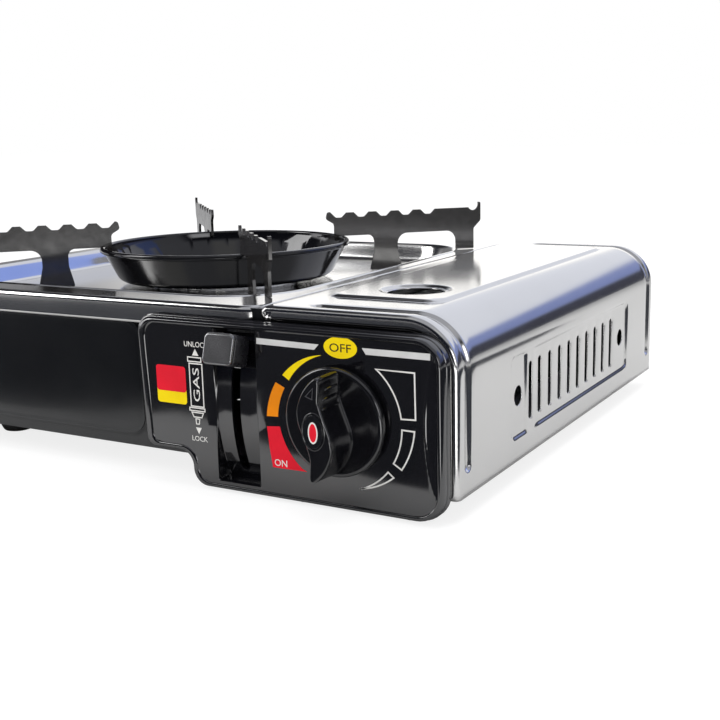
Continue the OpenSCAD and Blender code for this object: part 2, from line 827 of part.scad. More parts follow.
// Spiral that lifts the plunger as the knob turns
module igniter_cam() {
    step = 5;
    rise = cam_rise / cam_turn;
    // Radius at an angle before the top, counted against the knob's turn
    lift = [for (a = [0:step:cam_turn + 15]) [a, cam_r + rise * a]];
    low = [for (a = [cam_turn + 20:step:350]) [a, cam_r - 0.5]];
    color([0.85, 0.85, 0.8]) at_body() translate([knob_x, 0, knob_z]) difference() {
        xz(cam_y, cam_y + cam_t)
            polygon([for (p = concat(lift, low)) p[1] * [cos(90 - p[0]), sin(90 - p[0])]]);
        rod_y(cam_y - past, cam_y + cam_t + past, 0, 0, spindle_r + seat_fit);
    }
}

module igniter_plunger() {
    tip = knob_z + cam_r + 0.8;
    color([0.9, 0.9, 0.88]) at_body()
        translate([knob_x, igniter_y, tip]) {
            cylinder(r1 = 0.8, r2 = plunger_r, h = 1.6);
            translate([0, 0, 1.6]) cylinder(r = plunger_r, h = igniter_z - tip + 4 - 1.6);
        }
}

module igniter_body() {
    color([0.15, 0.2, 0.45]) at_body()
        translate([knob_x, igniter_y, igniter_z]) difference() {
            cylinder(r = igniter_r, h = igniter_h);
            translate([0, 0, -past]) cylinder(r = plunger_r + run_fit, h = cam_rise + 5 + past);
            translate([0, 0, igniter_h - 3]) cylinder(r = lead_r + 0.3, h = 3 + past);
        }
}

// Clip that holds the igniter to the pan's front wall
module igniter_bracket() {
    y0 = pan_y0 + sheet;
    color(zinc) at_body() difference() {
        union() {
            block([knob_x - 12, y0, igniter_z + 4], [knob_x + 12, y0 + 1, igniter_z + 14]);
            translate([knob_x, igniter_y, igniter_z + 4]) cylinder(r = igniter_r + 1, h = 10);
        }
        translate([knob_x, igniter_y, igniter_z + 3]) cylinder(r = igniter_r + seat_fit, h = 12);
        block([knob_x - 1.5, igniter_y + 3, igniter_z + 3], [knob_x + 1.5, igniter_y + 8, igniter_z + 16]);
        block([knob_x - 20, y0 - 4, igniter_z + 3], [knob_x + 20, y0, igniter_z + 16]);
    }
}

// Turns the lever from the middle of its swing to its upper stop
module at_lever_rest() {
    at_body() translate([0, lever_y, lever_z]) rotate([-lever_half, 0, 0]) children();
}

module gas_lever() {
    x0 = lever_x - lever_t / 2;
    x1 = lever_x + lever_t / 2;
    color(zinc) at_lever_rest() difference() {
        union() {
            rod_x(lever_x - 4, lever_x + 4, 0, 0, hub_r);
            yz(x0, x1) polygon(round_path(
                [[-grip_reach + cap_t + 1.5, arm_half], [-grip_reach + cap_t + 1.5, -arm_half],
                 [-hub_r, -arm_half - 1], [4, -arm_half - 1], [5, link_r + 4], [-5, link_r + 4], [-9, 6]],
                [1, 1, 2, 4, 4, 4, 5]));
        }
        rod_x(x0 - 8, x1 + 8, 0, 0, pivot_r + run_fit);
        rod_x(x0 - 1, x1 + 1, 0, link_r, link_pin_r + seat_fit);
    }
}

module link_pin() {
    color(dark_steel) at_lever_rest() {
        rod_x(lever_x - lever_t / 2 - 1, strip_x + strip_t + 1.2, 0, link_r, link_pin_r);
        rod_x(lever_x - lever_t / 2 - 1.5, lever_x - lever_t / 2, 0, link_r, link_pin_r + 1);
    }
}

// Front view of the grip
module grip_outline() {
    round_rect(lever_x - grip_half_w, -grip_half_h, lever_x + grip_half_w, grip_half_h, grip_corner);
}

module lever_grip() {
    color(plastic_black) at_lever_rest() difference() {
        xz(-grip_reach + cap_t, -trough_r - 3 * free_gap) grip_outline();
        // Pocket for the end of the arm
        block([lever_x - lever_t / 2 - seat_fit, -grip_reach + cap_t + 1.45, -arm_half - 0.25],
              [lever_x + lever_t / 2 + seat_fit, -trough_r, arm_half + 0.25]);
    }
}

module lever_grip_cap() {
    color(dark_steel) at_lever_rest() xz(-grip_reach, -grip_reach + cap_t) grip_outline();
}

module lever_bracket() {
    x1 = lever_x - 5.2;
    x0 = x1 - 1.2;
    color(zinc) at_body() difference() {
        union() {
            yz(x0, x1) polygon(round_path(
                [[lever_y - 12, floor_top], [lever_y + 12, floor_top], [lever_y + 7, lever_z + 7],
                 [lever_y - 7, lever_z + 7]],
                [0, 0, 5, 5]));
            block([x0 - 8, lever_y - 12, floor_top], [x1, lever_y + 12, floor_top + 1.2]);
        }
        rod_x(x0 - past, x1 + past, lever_y, lever_z, pivot_r + seat_fit);
    }
}

module lever_pivot_pin() {
    color(dark_steel) at_body() {
        rod_x(lever_x - 6.4, partition_x + sheet + 1, lever_y, lever_z, pivot_r);
        rod_x(lever_x - 7.6, lever_x - 6.4, lever_y, lever_z, pivot_r + 1.2);
    }
}

// Strip and paddle that push the cartridge onto the regulator
module pusher_carriage() {
    z0 = strip_z0;
    z1 = strip_z1;
    // Slot for the link pin, where the pin stands at rest
    pin_y = lever_y + link_r * sin(lever_half);
    pin_z = lever_z + link_r * cos(lever_half);
    x0 = strip_x;
    x1 = strip_x + strip_t;
    color(zinc) at_body() difference() {
        union() {
            block([x0, pin_y - 8, z0], [x1, paddle_y + 1, z1]);
            xz(paddle_y, paddle_y + 1.2)
                polygon(round_path(
                    [[x0, z0], [x0, z1], [cart_x + 16, z1], [cart_x + 24, cart_z], [cart_x + 10, cart_z - 20],
                     [cart_x - 14, cart_z - 20]],
                    [0, 3, 4, 6, 6, 6]));
        }
        yz(x0 - past, x1 + past)
            round_rect(pin_y - link_pin_r - 0.35, pin_z - link_pin_r - 1, pin_y + link_pin_r + 0.35,
                       pin_z + link_pin_r + 2.2, link_pin_r);
    }
}

// Clips on the partition that the strip slides in
module pusher_guides() {
    x0 = partition_x + sheet;
    x1 = strip_x + strip_t + free_gap;
    color(zinc) at_body()
        for (y = [guide_front_y, paddle_y - 50])
            difference() {
                block([x0, y, strip_z0 - 1.5], [x1 + 1, y + 12, strip_z1 + 1.5]);
                block([x0 + 0.9, y - past, strip_z0 - free_gap], [x1, y + 12 + past, strip_z1 + free_gap]);
            }
}

// ---- cartridge bay -------------------------------------------------------

// Saddle that carries the cartridge
module cartridge_cradle() {
    half = 50;
    y0 = guide_y + 24;
    y1 = y0 + 130;
    foot = cradle_r * sin(half);
    color(zinc) at_body() difference() {
        union() {
            xz(y0, y1) translate([cart_x, cart_z]) intersection() {
                difference() {
                    circle(cradle_r);
                    circle(cradle_r - 1);
                }
                polygon([[0, 0], 2 * cradle_r * [-sin(half), -cos(half)], [0, -2 * cradle_r],
                         2 * cradle_r * [sin(half), -cos(half)]]);
            }
            for (x = [cart_x - foot, cart_x + foot - 1])
                block([x, y0, floor_top], [x + 1, y1, cart_z - cradle_r * cos(half) + 0.6]);
        }
        for (y = [y0 + 15:50:y1 - 30])
            xy(floor_top - past, cart_z) round_rect(cart_x - 6, y, cart_x + 6, y + 28, 5.9);
    }
}

// Upright plate that the regulator hangs on and the cartridge's collar meets
module guide_plate() {
    y1 = guide_y + 1.2;
    color(zinc) at_body() difference() {
        union() {
            xz(guide_y, y1) round_rect(partition_x + sheet + 6, floor_top, pan_x1 - 5, plate_z - 11, 3);
            block([cart_x - 30, guide_y, floor_top], [cart_x + 30, guide_y + 12, floor_top + 1.2]);
            // Key for the notch in the cartridge's collar
            block([cart_x - 1.5, guide_y, cart_z + 14], [cart_x + 1.5, guide_y + 6, cart_z + 17]);
        }
        rod_y(guide_y - past, y1 + past, cart_x, cart_z, 10.4);
        xz(guide_y - past, y1 + past) round_rect(cart_x - 36, cart_z + 14, cart_x - 20, cart_z + 26, 3);
        xz(guide_y - past, y1 + past) round_rect(cart_x + 20, cart_z + 14, cart_x + 36, cart_z + 26, 3);
    }
}

module regulator_body() {
    color(alloy) at_body() difference() {
        union() {
            xz(reg_y0, reg_y1) round_rect(cart_x - 22, knob_z - 15, cart_x + 20, cart_z + 14, 5);
            rod_y(reg_y0 - 5, reg_y0, knob_x, knob_z, 9);
            rod_y(reg_y1, inlet_y, cart_x, cart_z, 10);
            // Shoulder that meets the guide plate
            rod_y(reg_y1, guide_y, cart_x, cart_z, 14);
            rod_x(cart_x - 30, cart_x - 22, pipe_y, outlet_z, 5);
        }
        rod_y(reg_y0 - 5 - past, reg_y0 + 14, knob_x, knob_z, spindle_r + run_fit);
        rod_y(reg_y1, inlet_y + past, cart_x, cart_z, inlet_r);
        rod_x(cart_x - 30 - past, cart_x - 26, pipe_y, outlet_z, pipe_r + seat_fit);
    }
}

// Round cover over the pressure diaphragm
module regulator_cover() {
    y = (reg_y0 + reg_y1) / 2;
    color(alloy) at_body() difference() {
        union() {
            rod_x(cart_x + 20, cart_x + 23, y, cart_z - 4, 11.8);
            rod_x(cart_x + 23, cart_x + 26, y, cart_z - 4, 6);
            yz(cart_x + 20, cart_x + 22) round_rect(y - 11.5, cart_z - 18, y + 11.5, cart_z + 10, 3);
        }
        for (p = regulator_screw_at)
            rod_x(cart_x + 19, cart_x + 27, y + p[0], cart_z - 4 + p[1], screw_r);
    }
}

module regulator_screws() {
    y = (reg_y0 + reg_y1) / 2;
    color(dark_steel) at_body()
        for (p = regulator_screw_at) {
            rod_x(cart_x + 20, cart_x + 23.2, y + p[0], cart_z - 4 + p[1], screw_r - 0.02);
            rod_x(cart_x + 23, cart_x + 24.6, y + p[0], cart_z - 4 + p[1], 2.4);
        }
}

// Rubber ring in the mouth of the inlet
module inlet_seal() {
    color([0.12, 0.12, 0.12]) at_body() difference() {
        rod_y(inlet_y, inlet_y + 1.5, cart_x, cart_z, 8);
        rod_y(inlet_y - past, inlet_y + 3, cart_x, cart_z, inlet_r + 0.4);
    }
}

// ---- gas line and burner -------------------------------------------------

module gas_pipe() {
    color(alloy) at_body() tube(bent_line(pipe_route, pipe_bend), pipe_r, 12);
}

module pipe_nuts() {
    color(brass) at_body() {
        translate([cart_x - 34, pipe_y, outlet_z]) rotate([0, 90, 0]) nut();
        translate([pipe_up_x, burner_y, mix_z - 12]) nut();
    }
}

// A hexagon nut that starts at the origin and rises along Z
module nut() {
    difference() {
        cylinder(r = 6, h = 4, $fn = 6);
        translate([0, 0, -past]) cylinder(r = pipe_r + seat_fit, h = 4 + 2 * past);
    }
}

module jet_holder() {
    z0 = mix_z - 8;
    z1 = mix_z + 8;
    color(brass) at_body() difference() {
        block([jet_x, burner_y - 6, z0], [jet_x + 10, burner_y + 6, z1]);
        translate([pipe_up_x, burner_y, z0 - past]) cylinder(r = pipe_r + seat_fit, h = past);
        rod_x(jet_x - past, jet_x + 5, burner_y, mix_z, 2.5);
    }
}

module jet_nozzle() {
    color(brass) at_body() {
        rod_x(jet_x - 3, jet_x, burner_y, mix_z, 3.6);
        rod_x(jet_x - 8, jet_x - 3, burner_y, mix_z, 1.8);
        rod_x(jet_x, jet_x + 5, burner_y, mix_z, 2.48);
    }
}

// Tube that mixes gas and air; its yoke grips the jet holder
module mixing_tube() {
    x0 = burner_x + base_r - 4;
    x1 = jet_x - 10;
    color(zinc) at_body() difference() {
        union() {
            rod_x(x0, x1, burner_y, mix_z, mix_r);
            rod_x(x1 - 4, x1, burner_y, mix_z, mix_r + 2);
            for (y = [burner_y - mix_r - 1, burner_y + mix_r - 1])
                block([x1 - 3, y, mix_z - 4], [jet_x, y + 2, mix_z + 4]);
            block([jet_x - 1.2, burner_y - mix_r - 1, mix_z - 4], [jet_x, burner_y + mix_r + 1, mix_z + 4]);
        }
        rod_x(x0 - past, x1 + past, burner_y, mix_z, mix_r - 1);
        rod_x(x1, jet_x + past, burner_y, mix_z, 3.7);
    }
}

module burner_base() {
    color(alloy) at_burner(burner_base_z) difference() {
        cylinder(r = base_r, h = tray_z - 3 - burner_base_z);
        translate([0, 0, 3]) cylinder(r = base_r - 4, h = 60);
        rod_x(base_r - 4 - past, base_r + past, 0, mix_z - burner_base_z, mix_r + seat_fit);
    }
}

// Ring of flame ports
module burner_head() {
    z0 = tray_z - 3;
    ports = 24;
    color(zinc) at_burner(z0) difference() {
        union() {
            cylinder(r = base_r, h = 3);
            translate([0, 0, 3]) cylinder(r = burner_r, h = 7);
        }
        translate([0, 0, -past]) cylinder(r = burner_r - 8, h = 12);
        for (i = [0:ports - 1])
            rotate([0, 0, (i + 0.5) * 360 / ports])
                block([burner_r - 4, -0.9, 5], [burner_r + 2, 0.9, 11]);
    }
}

module burner_cap() {
    z0 = tray_z + 7;
    color(alloy) at_burner(z0) {
        cylinder(r1 = burner_r - 1, r2 = burner_r - 4, h = 1.6);
        translate([0, 0, 1.6]) cylinder(r1 = burner_r - 4, r2 = 9, h = 1.4);
        translate([0, 0, -2]) cylinder(r = burner_r - 8.1, h = 2);
    }
}

module burner_bracket() {
    z1 = burner_base_z;
    color(zinc) at_burner() {
        block([-24, -9, z1 - 1.2], [24, 9, z1]);
        for (x = [-24, 22.8])
            block([x, -9, floor_top], [x + 1.2, 9, z1]);
        block([-34, -9, floor_top], [-22.8, 9, floor_top + 1.2]);
        block([22.8, -9, floor_top], [34, 9, floor_top + 1.2]);
    }
}

// Tab on the burner's side that holds the ceramic
module electrode_bracket() {
    z = burner_base_z + 14;
    color(zinc) at_burner() rotate([0, 0, electrode_angle]) difference() {
        union() {
            block([base_r - 0.2, -5, z - 6], [base_r + 1, 5, z]);
            block([base_r - 0.2, -5, z - 1.2], [electrode_d + 5, 5, z]);
        }
        translate([0, 0, z - 8]) cylinder(r = base_r + seat_fit, h = 10);
        translate([electrode_d, 0, z - 3]) cylinder(r = 2.42, h = 5);
    }
}

module electrode_insulator() {
    color([0.93, 0.92, 0.88]) at_body() translate([electrode_x, electrode_y, mix_z - 2]) difference() {
        union() {
            cylinder(r = 2.4, h = tray_z - mix_z + 6);
            translate([0, 0, 4]) cylinder(r = 3.2, h = 3);
        }
        translate([0, 0, -past]) cylinder(r = 0.8, h = 40);
    }
}

module electrode_rod() {
    tip = tray_z + 9.5;
    color(dark_steel) at_body() {
        tube(bent_line(
            [[electrode_x, electrode_y, mix_z - 2], [electrode_x, electrode_y, tip],
             [burner_x + (electrode_d - 5) * cos(electrode_angle),
              burner_y + (electrode_d - 5) * sin(electrode_angle), tip + 1.5]], 2), 0.78, 8);
    }
}

// ---- swept tubes and the igniter lead -------------------------------------

// The corner b of a path a-b-c in space, as points on a bend that starts at
// distance cut from the corner
function bend(a, b, c, cut, n = 5) =
    let (p = b + (a - b) / norm(a - b) * cut, q = b + (c - b) / norm(c - b) * cut)
    [for (i = [0:n]) let (t = i / n) (1 - t) * (1 - t) * p + 2 * t * (1 - t) * b + t * t * q];

// A path in space with its inner corners bent
function bent_line(route, cut) =
    let (last = len(route) - 1)
    concat([route[0]],
           [for (i = [1:last - 1]) each bend(route[i - 1], route[i], route[i + 1], cut)],
           [route[last]]);

// A point on the smooth curve through four points of the route
function spline(a, b, c, d, t) =
    0.5 * ((2 * b) + (c - a) * t + (2 * a - 5 * b + 4 * c - d) * t * t + (3 * b - a - 3 * c + d) * t * t * t);

// A smooth line through the points of a route
function smooth_line(route, steps) =
    let (n = len(route))
    concat(
        [for (i = [0:n - 2])
            for (k = [0:steps - 1])
                spline(route[max(i - 1, 0)], route[i], route[i + 1], route[min(i + 2, n - 1)], k / steps)],
        [route[n - 1]]);

// A ring of points around place i of a line, square to its direction
function tube_ring(line, i, r, sides) =
    let (
        ahead = line[min(i + 1, len(line) - 1)] - line[max(i - 1, 0)],
        w = ahead / norm(ahead),
        u0 = cross(w, [0.31, 0.87, 0.38]),
        u = u0 / norm(u0),
        v = cross(w, u)
    )
    [for (k = [0:sides - 1]) line[i] + r * (u * cos(360 * k / sides) + v * sin(360 * k / sides))];

// A solid round bar along a line of points
module tube(line, r, sides) {
    n = len(line);
    points = [for (i = [0:n - 1]) each tube_ring(line, i, r, sides)];
    walls = [for (i = [0:n - 2]) for (k = [0:sides - 1])
        let (a = i * sides + k, b = i * sides + (k + 1) % sides)
        [a, a + sides, b + sides, b]];
    ends = [[for (k = [0:sides - 1]) k], [for (k = [sides - 1:-1:0]) (n - 1) * sides + k]];
    polyhedron(points, concat(walls, ends));
}

module igniter_lead() {
    color([0.75, 0.2, 0.1]) at_body() tube(smooth_line(lead_route, 4), lead_r, 8);
}

// ---- nodes ---------------------------------------------------------------

base_pan();
feet();
top_plate();
top_plate_screws();
partition();
control_panel();
panel_screws();
guide_plate();
cartridge_cradle();
pusher_guides();
regulator_body();
regulator_cover();
regulator_screws();
inlet_seal();
gas_pipe();
pipe_nuts();
jet_holder();
jet_nozzle();
mixing_tube();
burner_base();
burner_head();
burner_cap();
burner_bracket();
electrode_bracket();
electrode_insulator();
electrode_rod();
igniter_bracket();
igniter_body();
igniter_lead();
lever_bracket();
lever_pivot_pin();
hinge_pins();
lid();
drip_bowl();
pan_support_front_right();
pan_support_rear_right();
pan_support_rear_left();
pan_support_front_left();
knob();
knob_emblem();
valve_spindle();
igniter_cam();
igniter_plunger();
gas_lever();
link_pin();
lever_grip();
lever_grip_cap();
pusher_carriage();
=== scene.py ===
"""Looks for a butane cassette stove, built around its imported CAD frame.

Lengths in this script are millimetres around the middle of the case, as in the CAD
source: X to the right, Y to the back, Z up from the table. place() turns them into
the frame's metres.
"""

import math

import bpy
import numpy as np
from mathutils import Matrix, Vector
from mathutils.geometry import tessellate_polygon


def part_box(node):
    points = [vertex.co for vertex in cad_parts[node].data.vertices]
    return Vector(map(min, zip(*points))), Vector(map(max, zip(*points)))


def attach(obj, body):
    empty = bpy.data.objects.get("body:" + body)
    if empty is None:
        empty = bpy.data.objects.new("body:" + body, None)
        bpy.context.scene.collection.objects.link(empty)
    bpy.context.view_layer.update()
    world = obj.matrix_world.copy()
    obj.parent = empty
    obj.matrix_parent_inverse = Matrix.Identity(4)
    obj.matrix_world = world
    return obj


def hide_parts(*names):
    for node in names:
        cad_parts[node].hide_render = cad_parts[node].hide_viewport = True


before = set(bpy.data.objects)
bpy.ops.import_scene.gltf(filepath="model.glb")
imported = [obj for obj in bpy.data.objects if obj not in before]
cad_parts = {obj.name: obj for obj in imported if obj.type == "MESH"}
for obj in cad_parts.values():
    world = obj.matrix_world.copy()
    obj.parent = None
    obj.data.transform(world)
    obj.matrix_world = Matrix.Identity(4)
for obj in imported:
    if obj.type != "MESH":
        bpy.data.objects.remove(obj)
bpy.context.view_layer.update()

MM = 0.001


def node_span(node):
    """Lowest and highest corner of a CAD node, in millimetres."""
    low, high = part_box(node)
    return np.array(low) / MM, np.array(high) / MM


# ---- sizes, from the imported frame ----

LID_LOW, LID_HIGH = node_span("lid")
PLATE_LOW, PLATE_HIGH = node_span("top_plate")
PANEL_LOW, PANEL_HIGH = node_span("control_panel")
KNOB_LOW, KNOB_HIGH = node_span("knob")
BOWL_LOW, BOWL_HIGH = node_span("drip_bowl")

# The frame's origin lies under the middle of the whole stove, not of its case
CASE_Y = (LID_LOW[1] + LID_HIGH[1]) / 2

HALF_D = (LID_HIGH[1] - LID_LOW[1]) / 2
RIGHT = LID_HIGH[0]
LEFT = PLATE_LOW[0]
PLATE_Z = PLATE_HIGH[2]
LID_Z = PLATE_Z + 1
LID_X = LID_LOW[0]
LID_BOTTOM = LID_LOW[2]
SHEET = 0.8

# Cover: rolled edge around the hinge, long bend, raised field, grooves, vent field
CURL_R = 3.2
HINGE_X = LID_X + CURL_R
LID_R = 23
FLANGE = 6
END_R = 2.2
FIELD = (LID_X + 14, -HALF_D + 33.5, RIGHT - 24, HALF_D - 24.5)
FIELD_H = 1.2
GROOVE_START_X = FIELD[0] + 8
SIGHT = (RIGHT - 48.5, -HALF_D + 59.5)
SIGHT_R = 13
SIGHT_RING_R = 18
GROOVE_AT = 6.7
GROOVE_W = 5
GROOVE_DEPTH = 1.4
VENT = (-HALF_D + 55.5, 20.5, HALF_D - 49.5, 57.7)
VENT_DEPTH = 1.0
SLOT_W = 4.4
SLOT_PITCH = 13.33
SLOT_COUNT = 10
SLOT_Y = VENT[0] + 21
SLOT_Z = (25.5, 52.2)
VENT_HOLE_Z = 39.1
VENT_HOLES = [(VENT[0] + 9.5, VENT_HOLE_Z), (VENT[2] - 10.5, VENT_HOLE_Z)]
VENT_HOLE_R = 4.6
GROOVE_END_Z = 20

# Top plate with its tray; FILLET_START is the wall's angle from upright, in degrees
PLATE_RIGHT = PLATE_HIGH[0]
SKIRT_Z = PLATE_LOW[2]
BURNER = ((BOWL_LOW[0] + BOWL_HIGH[0]) / 2, (BOWL_LOW[1] + BOWL_HIGH[1]) / 2 - CASE_Y)
TRAY = (LEFT + 14.5, -HALF_D + 20.5, LID_X - 13, HALF_D - 25.5)
TRAY_R = 35
TRAY_DEPTH = 10
TRAY_SLOPE = 4
TRAY_HOLE_R = 41
PLATE_R = 12
PLATE_EDGE_R = 2.4
FILLET_R = 2.2
FILLET_START = 21.8
FILLET_STEP = 13.64

# Panel: its corner points, the lever's trough and slot, and the knob
PANEL_Y = PANEL_LOW[1] - CASE_Y
FACE_Y = PANEL_Y + 0.6
PANEL_NECK_Y = -HALF_D - 0.6
PANEL_BACK_Y = PANEL_HIGH[1] - CASE_Y
PANEL_X0, PANEL_X1 = PANEL_LOW[0], PANEL_HIGH[0]
PANEL_Z0, PANEL_Z1 = 0.7, PANEL_HIGH[2]
PANEL_LEAN = 2.2
PANEL_WALL = 1.5
STEP = (PANEL_X0 + 29.2, 16.3)
LEVER_X = LID_X - 9.4
LEVER_Y = PANEL_Y + 80
LEVER_Z = (SKIRT_Z + 8) / 2
TROUGH = (LEVER_X - 10.8, 5.2, LEVER_X + 12, 75)
TROUGH_R = 78.8
CREASE_X = 160.6
CREASE_Z = 41
KNOB = ((KNOB_LOW[0] + KNOB_HIGH[0]) / 2, (KNOB_LOW[2] + KNOB_HIGH[2]) / 2)
KNOB_R = (KNOB_HIGH[0] - KNOB_LOW[0]) / 2
KNOB_BACK, KNOB_FRONT = KNOB_HIGH[1] - CASE_Y, KNOB_LOW[1] - CASE_Y
BLADE_FRONT = KNOB_FRONT + 0.3


def place(x, y, z):
    return (x * MM, (y + CASE_Y) * MM, z * MM)


# ---- mesh helpers ----


def linked(name, data):
    """A new object of the scene that holds the data."""
    obj = bpy.data.objects.new(name, data)
    bpy.context.collection.objects.link(obj)
    return obj


def new_piece(name, points, faces, smooth=True):
    """A mesh object from points in millimetres around the case's middle."""
    points = np.asarray(points, float)
    mesh = bpy.data.meshes.new(name)
    mesh.from_pydata([place(*p) for p in points], [], [list(f) for f in faces])
    mesh.validate()
    mesh.polygons.foreach_set("use_smooth", [smooth] * len(mesh.polygons))
    return linked(name, mesh)


def thicken(obj, thickness, offset=-1):
    solid = obj.modifiers.new("thickness", "SOLIDIFY")
    solid.thickness = thickness * MM
    solid.offset = offset
    solid.use_even_offset = True
    solid.use_quality_normals = True


def soften(obj, width, segments, angle):
    bevel = obj.modifiers.new("soft_edges", "BEVEL")
    bevel.width = width * MM
    bevel.segments = segments
    bevel.limit_method = "ANGLE"
    bevel.angle_limit = math.radians(angle)
    return bevel


def step_up(x):
    """Smooth 0 to 1 as x goes from 0 to 1."""
    x = np.clip(x, 0, 1)
    return x * x * (3 - 2 * x)


def box_distance(x, y, box, r):
    """Signed distance to a rectangle (x0, y0, x1, y1) with round corners, negative inside."""
    cx, cy = (box[0] + box[2]) / 2, (box[1] + box[3]) / 2
    dx = np.abs(x - cx) - (box[2] - box[0]) / 2 + r
    dy = np.abs(y - cy) - (box[3] - box[1]) / 2 + r
    outside = np.hypot(np.maximum(dx, 0), np.maximum(dy, 0))
    return outside + np.minimum(np.maximum(dx, dy), 0) - r


def lines(low, high, coarse, fine=()):
    """Grid positions from low to high: coarse steps, and fine steps in the given spans."""
    keys = {round(low, 4), round(high, 4)}
    for a, b, step in fine:
        a, b = max(a, low), min(b, high)
        if b > a:
            n = max(1, round((b - a) / step))
            keys.update(round(a + (b - a) * i / n, 4) for i in range(n + 1))
    keys = sorted(keys)
    out = [keys[0]]
    for a, b in zip(keys, keys[1:]):
        if b - a < 0.04:
            continue
        n = max(1, math.ceil((b - a) / coarse))
        out += [a + (b - a) * i / n for i in range(1, n + 1)]
    return np.array(out)


def clipped_grid(us, vs, field, surface):
    """Grid over us and vs where field(u, v) > 0, cut along field = 0.

    surface(u, v) gives the points. Returns points and faces.
    """
    grid_u, grid_v = np.meshgrid(us, vs, indexing="ij")
    value = field(grid_u, grid_v)
    params, index = [], {}

    def corner(i, j):
        if (i, j) not in index:
            index[(i, j)] = len(params)
            params.append((us[i], vs[j]))
        return index[(i, j)]

    def crossing(p, q):
        key = (min(p, q), max(p, q))
        if key not in index:
            a = np.array((us[key[0][0]], vs[key[0][1]]))
            b = np.array((us[key[1][0]], vs[key[1][1]]))
            low, high = 0.0, 1.0
            start = value[key[0]] > 0
            for _ in range(14):
                mid = (low + high) / 2
                if (field(*(a + (b - a) * mid)) > 0) == start:
                    low = mid
                else:
                    high = mid
            index[key] = len(params)
            params.append(tuple(a + (b - a) * low))
        return index[key]

    faces = []
    for i in range(len(us) - 1):
        for j in range(len(vs) - 1):
            ring = [(i, j), (i + 1, j), (i + 1, j + 1), (i, j + 1)]
            inside = [value[c] > 0 for c in ring]
            if all(inside):
                faces.append([corner(*c) for c in ring])
            elif any(inside):
                face = []
                for k in range(4):
                    a, b = ring[k], ring[(k + 1) % 4]
                    if inside[k]:
                        face.append(corner(*a))
                    if inside[k] != inside[(k + 1) % 4]:
                        face.append(crossing(a, b))
                if len(face) > 2:
                    faces.append(face)
    params = np.array(params)
    return surface(params[:, 0], params[:, 1]), faces


def add_skin(points, faces, more_points, more_faces):
    """Adds a further skin to lists of points and faces."""
    base = len(points)
    points += [tuple(p) for p in more_points]
    faces += [tuple(base + i for i in face) for face in more_faces]


def loft(rings, close_first=False, close_last=False):
    """Points and faces of a skin through rings of equal point counts."""
    n = len(rings[0])
    points = [p for ring in rings for p in ring]
    faces = []
    for k in range(len(rings) - 1):
        for i in range(n):
            j = (i + 1) % n
            faces.append((k * n + i, k * n + j, (k + 1) * n + j, (k + 1) * n + i))
    if close_first:
        faces.append(tuple(range(n))[::-1])
    if close_last:
        faces.append(tuple((len(rings) - 1) * n + i for i in range(n)))
    return points, faces


def round_corners(box, r):
    """Centres of a rectangle's four corner arcs, each with its first angle in degrees."""
    x0, y0, x1, y1 = box
    return [(x1 - r, y0 + r, -90), (x1 - r, y1 - r, 0), (x0 + r, y1 - r, 90), (x0 + r, y0 + r, 180)]


def rect_ring(box, r, z, per_corner=12, per_side=10):
    """Ring around a rectangle with round corners, counter-clockwise seen from above."""
    centres = round_corners(box, r)
    ring = []
    for k, (cx, cy, start) in enumerate(centres):
        for i in range(per_corner + 1):
            a = math.radians(start + 90 * i / per_corner)
            ring.append((cx + r * math.cos(a), cy + r * math.sin(a), z))
        nx, ny, nstart = centres[(k + 1) % 4]
        a = math.radians(nstart)
        goal = (nx + r * math.cos(a), ny + r * math.sin(a))
        last = ring[-1]
        for i in range(1, per_side):
            t = i / per_side
            ring.append((last[0] + (goal[0] - last[0]) * t, last[1] + (goal[1] - last[1]) * t, z))
    return ring


def rounded_path(corners, radii, per_corner=10, per_side=8):
    """Points around a polygon whose corners are rounded, each by its own radius."""
    n = len(corners)
    arcs = []
    for i in range(n):
        before, here, after = (np.array(corners[k % n], float) for k in (i - 1, i, i + 1))
        u = (before - here) / np.linalg.norm(before - here)
        v = (after - here) / np.linalg.norm(after - here)
        half = math.acos(u @ v) / 2
        middle = here + (u + v) / np.linalg.norm(u + v) * radii[i] / math.sin(half)
        start = here + u * radii[i] / math.tan(half) - middle
        end = here + v * radii[i] / math.tan(half) - middle
        a0 = math.atan2(start[1], start[0])
        sweep = (math.atan2(end[1], end[0]) - a0 + math.pi) % (2 * math.pi) - math.pi
        turns = [a0 + sweep * k / per_corner for k in range(per_corner + 1)]
        arcs.append([middle + radii[i] * np.array((math.cos(a), math.sin(a))) for a in turns])
    out = []
    for i in range(n):
        last, goal = arcs[i][-1], arcs[(i + 1) % n][0]
        out += arcs[i] + [last + (goal - last) * k / per_side for k in range(1, per_side)]
    return np.array(out)


def inside_distance(outline, x, z):
    """Distance to a closed outline, positive inside it."""
    a, b = outline, np.roll(outline, -1, axis=0)
    along = b - a
    p = np.stack(np.broadcast_arrays(x, z), axis=-1)[..., None, :]
    t = np.clip(((p - a) * along).sum(-1) / (along**2).sum(-1), 0, 1)
    gap = np.linalg.norm(p - a - t[..., None] * along, axis=-1).min(-1)
    spans = (a[:, 1] > p[..., 1]) != (b[:, 1] > p[..., 1])
    slope = along[:, 0] / np.where(along[:, 1] == 0, 1, along[:, 1])
    left = spans & (p[..., 0] < a[:, 0] + (p[..., 1] - a[:, 1]) * slope)
    return np.where(left.sum(-1) % 2 == 1, gap, -gap)


def smooth_loop(points, steps=5):
    """A closed curve through the points."""
    pts = np.array(points, float)
    n = len(pts)
    out = []
    for i in range(n):
        p0, p1, p2, p3 = (pts[k % n] for k in (i - 1, i, i + 1, i + 2))
        for k in range(steps):
            t = k / steps
            square = (2 * p0 - 5 * p1 + 4 * p2 - p3) * t * t
            cube = (3 * p1 - p0 - 3 * p2 + p3) * t**3
            out.append(0.5 * (2 * p1 + (p2 - p0) * t + square + cube))
    return np.array(out)


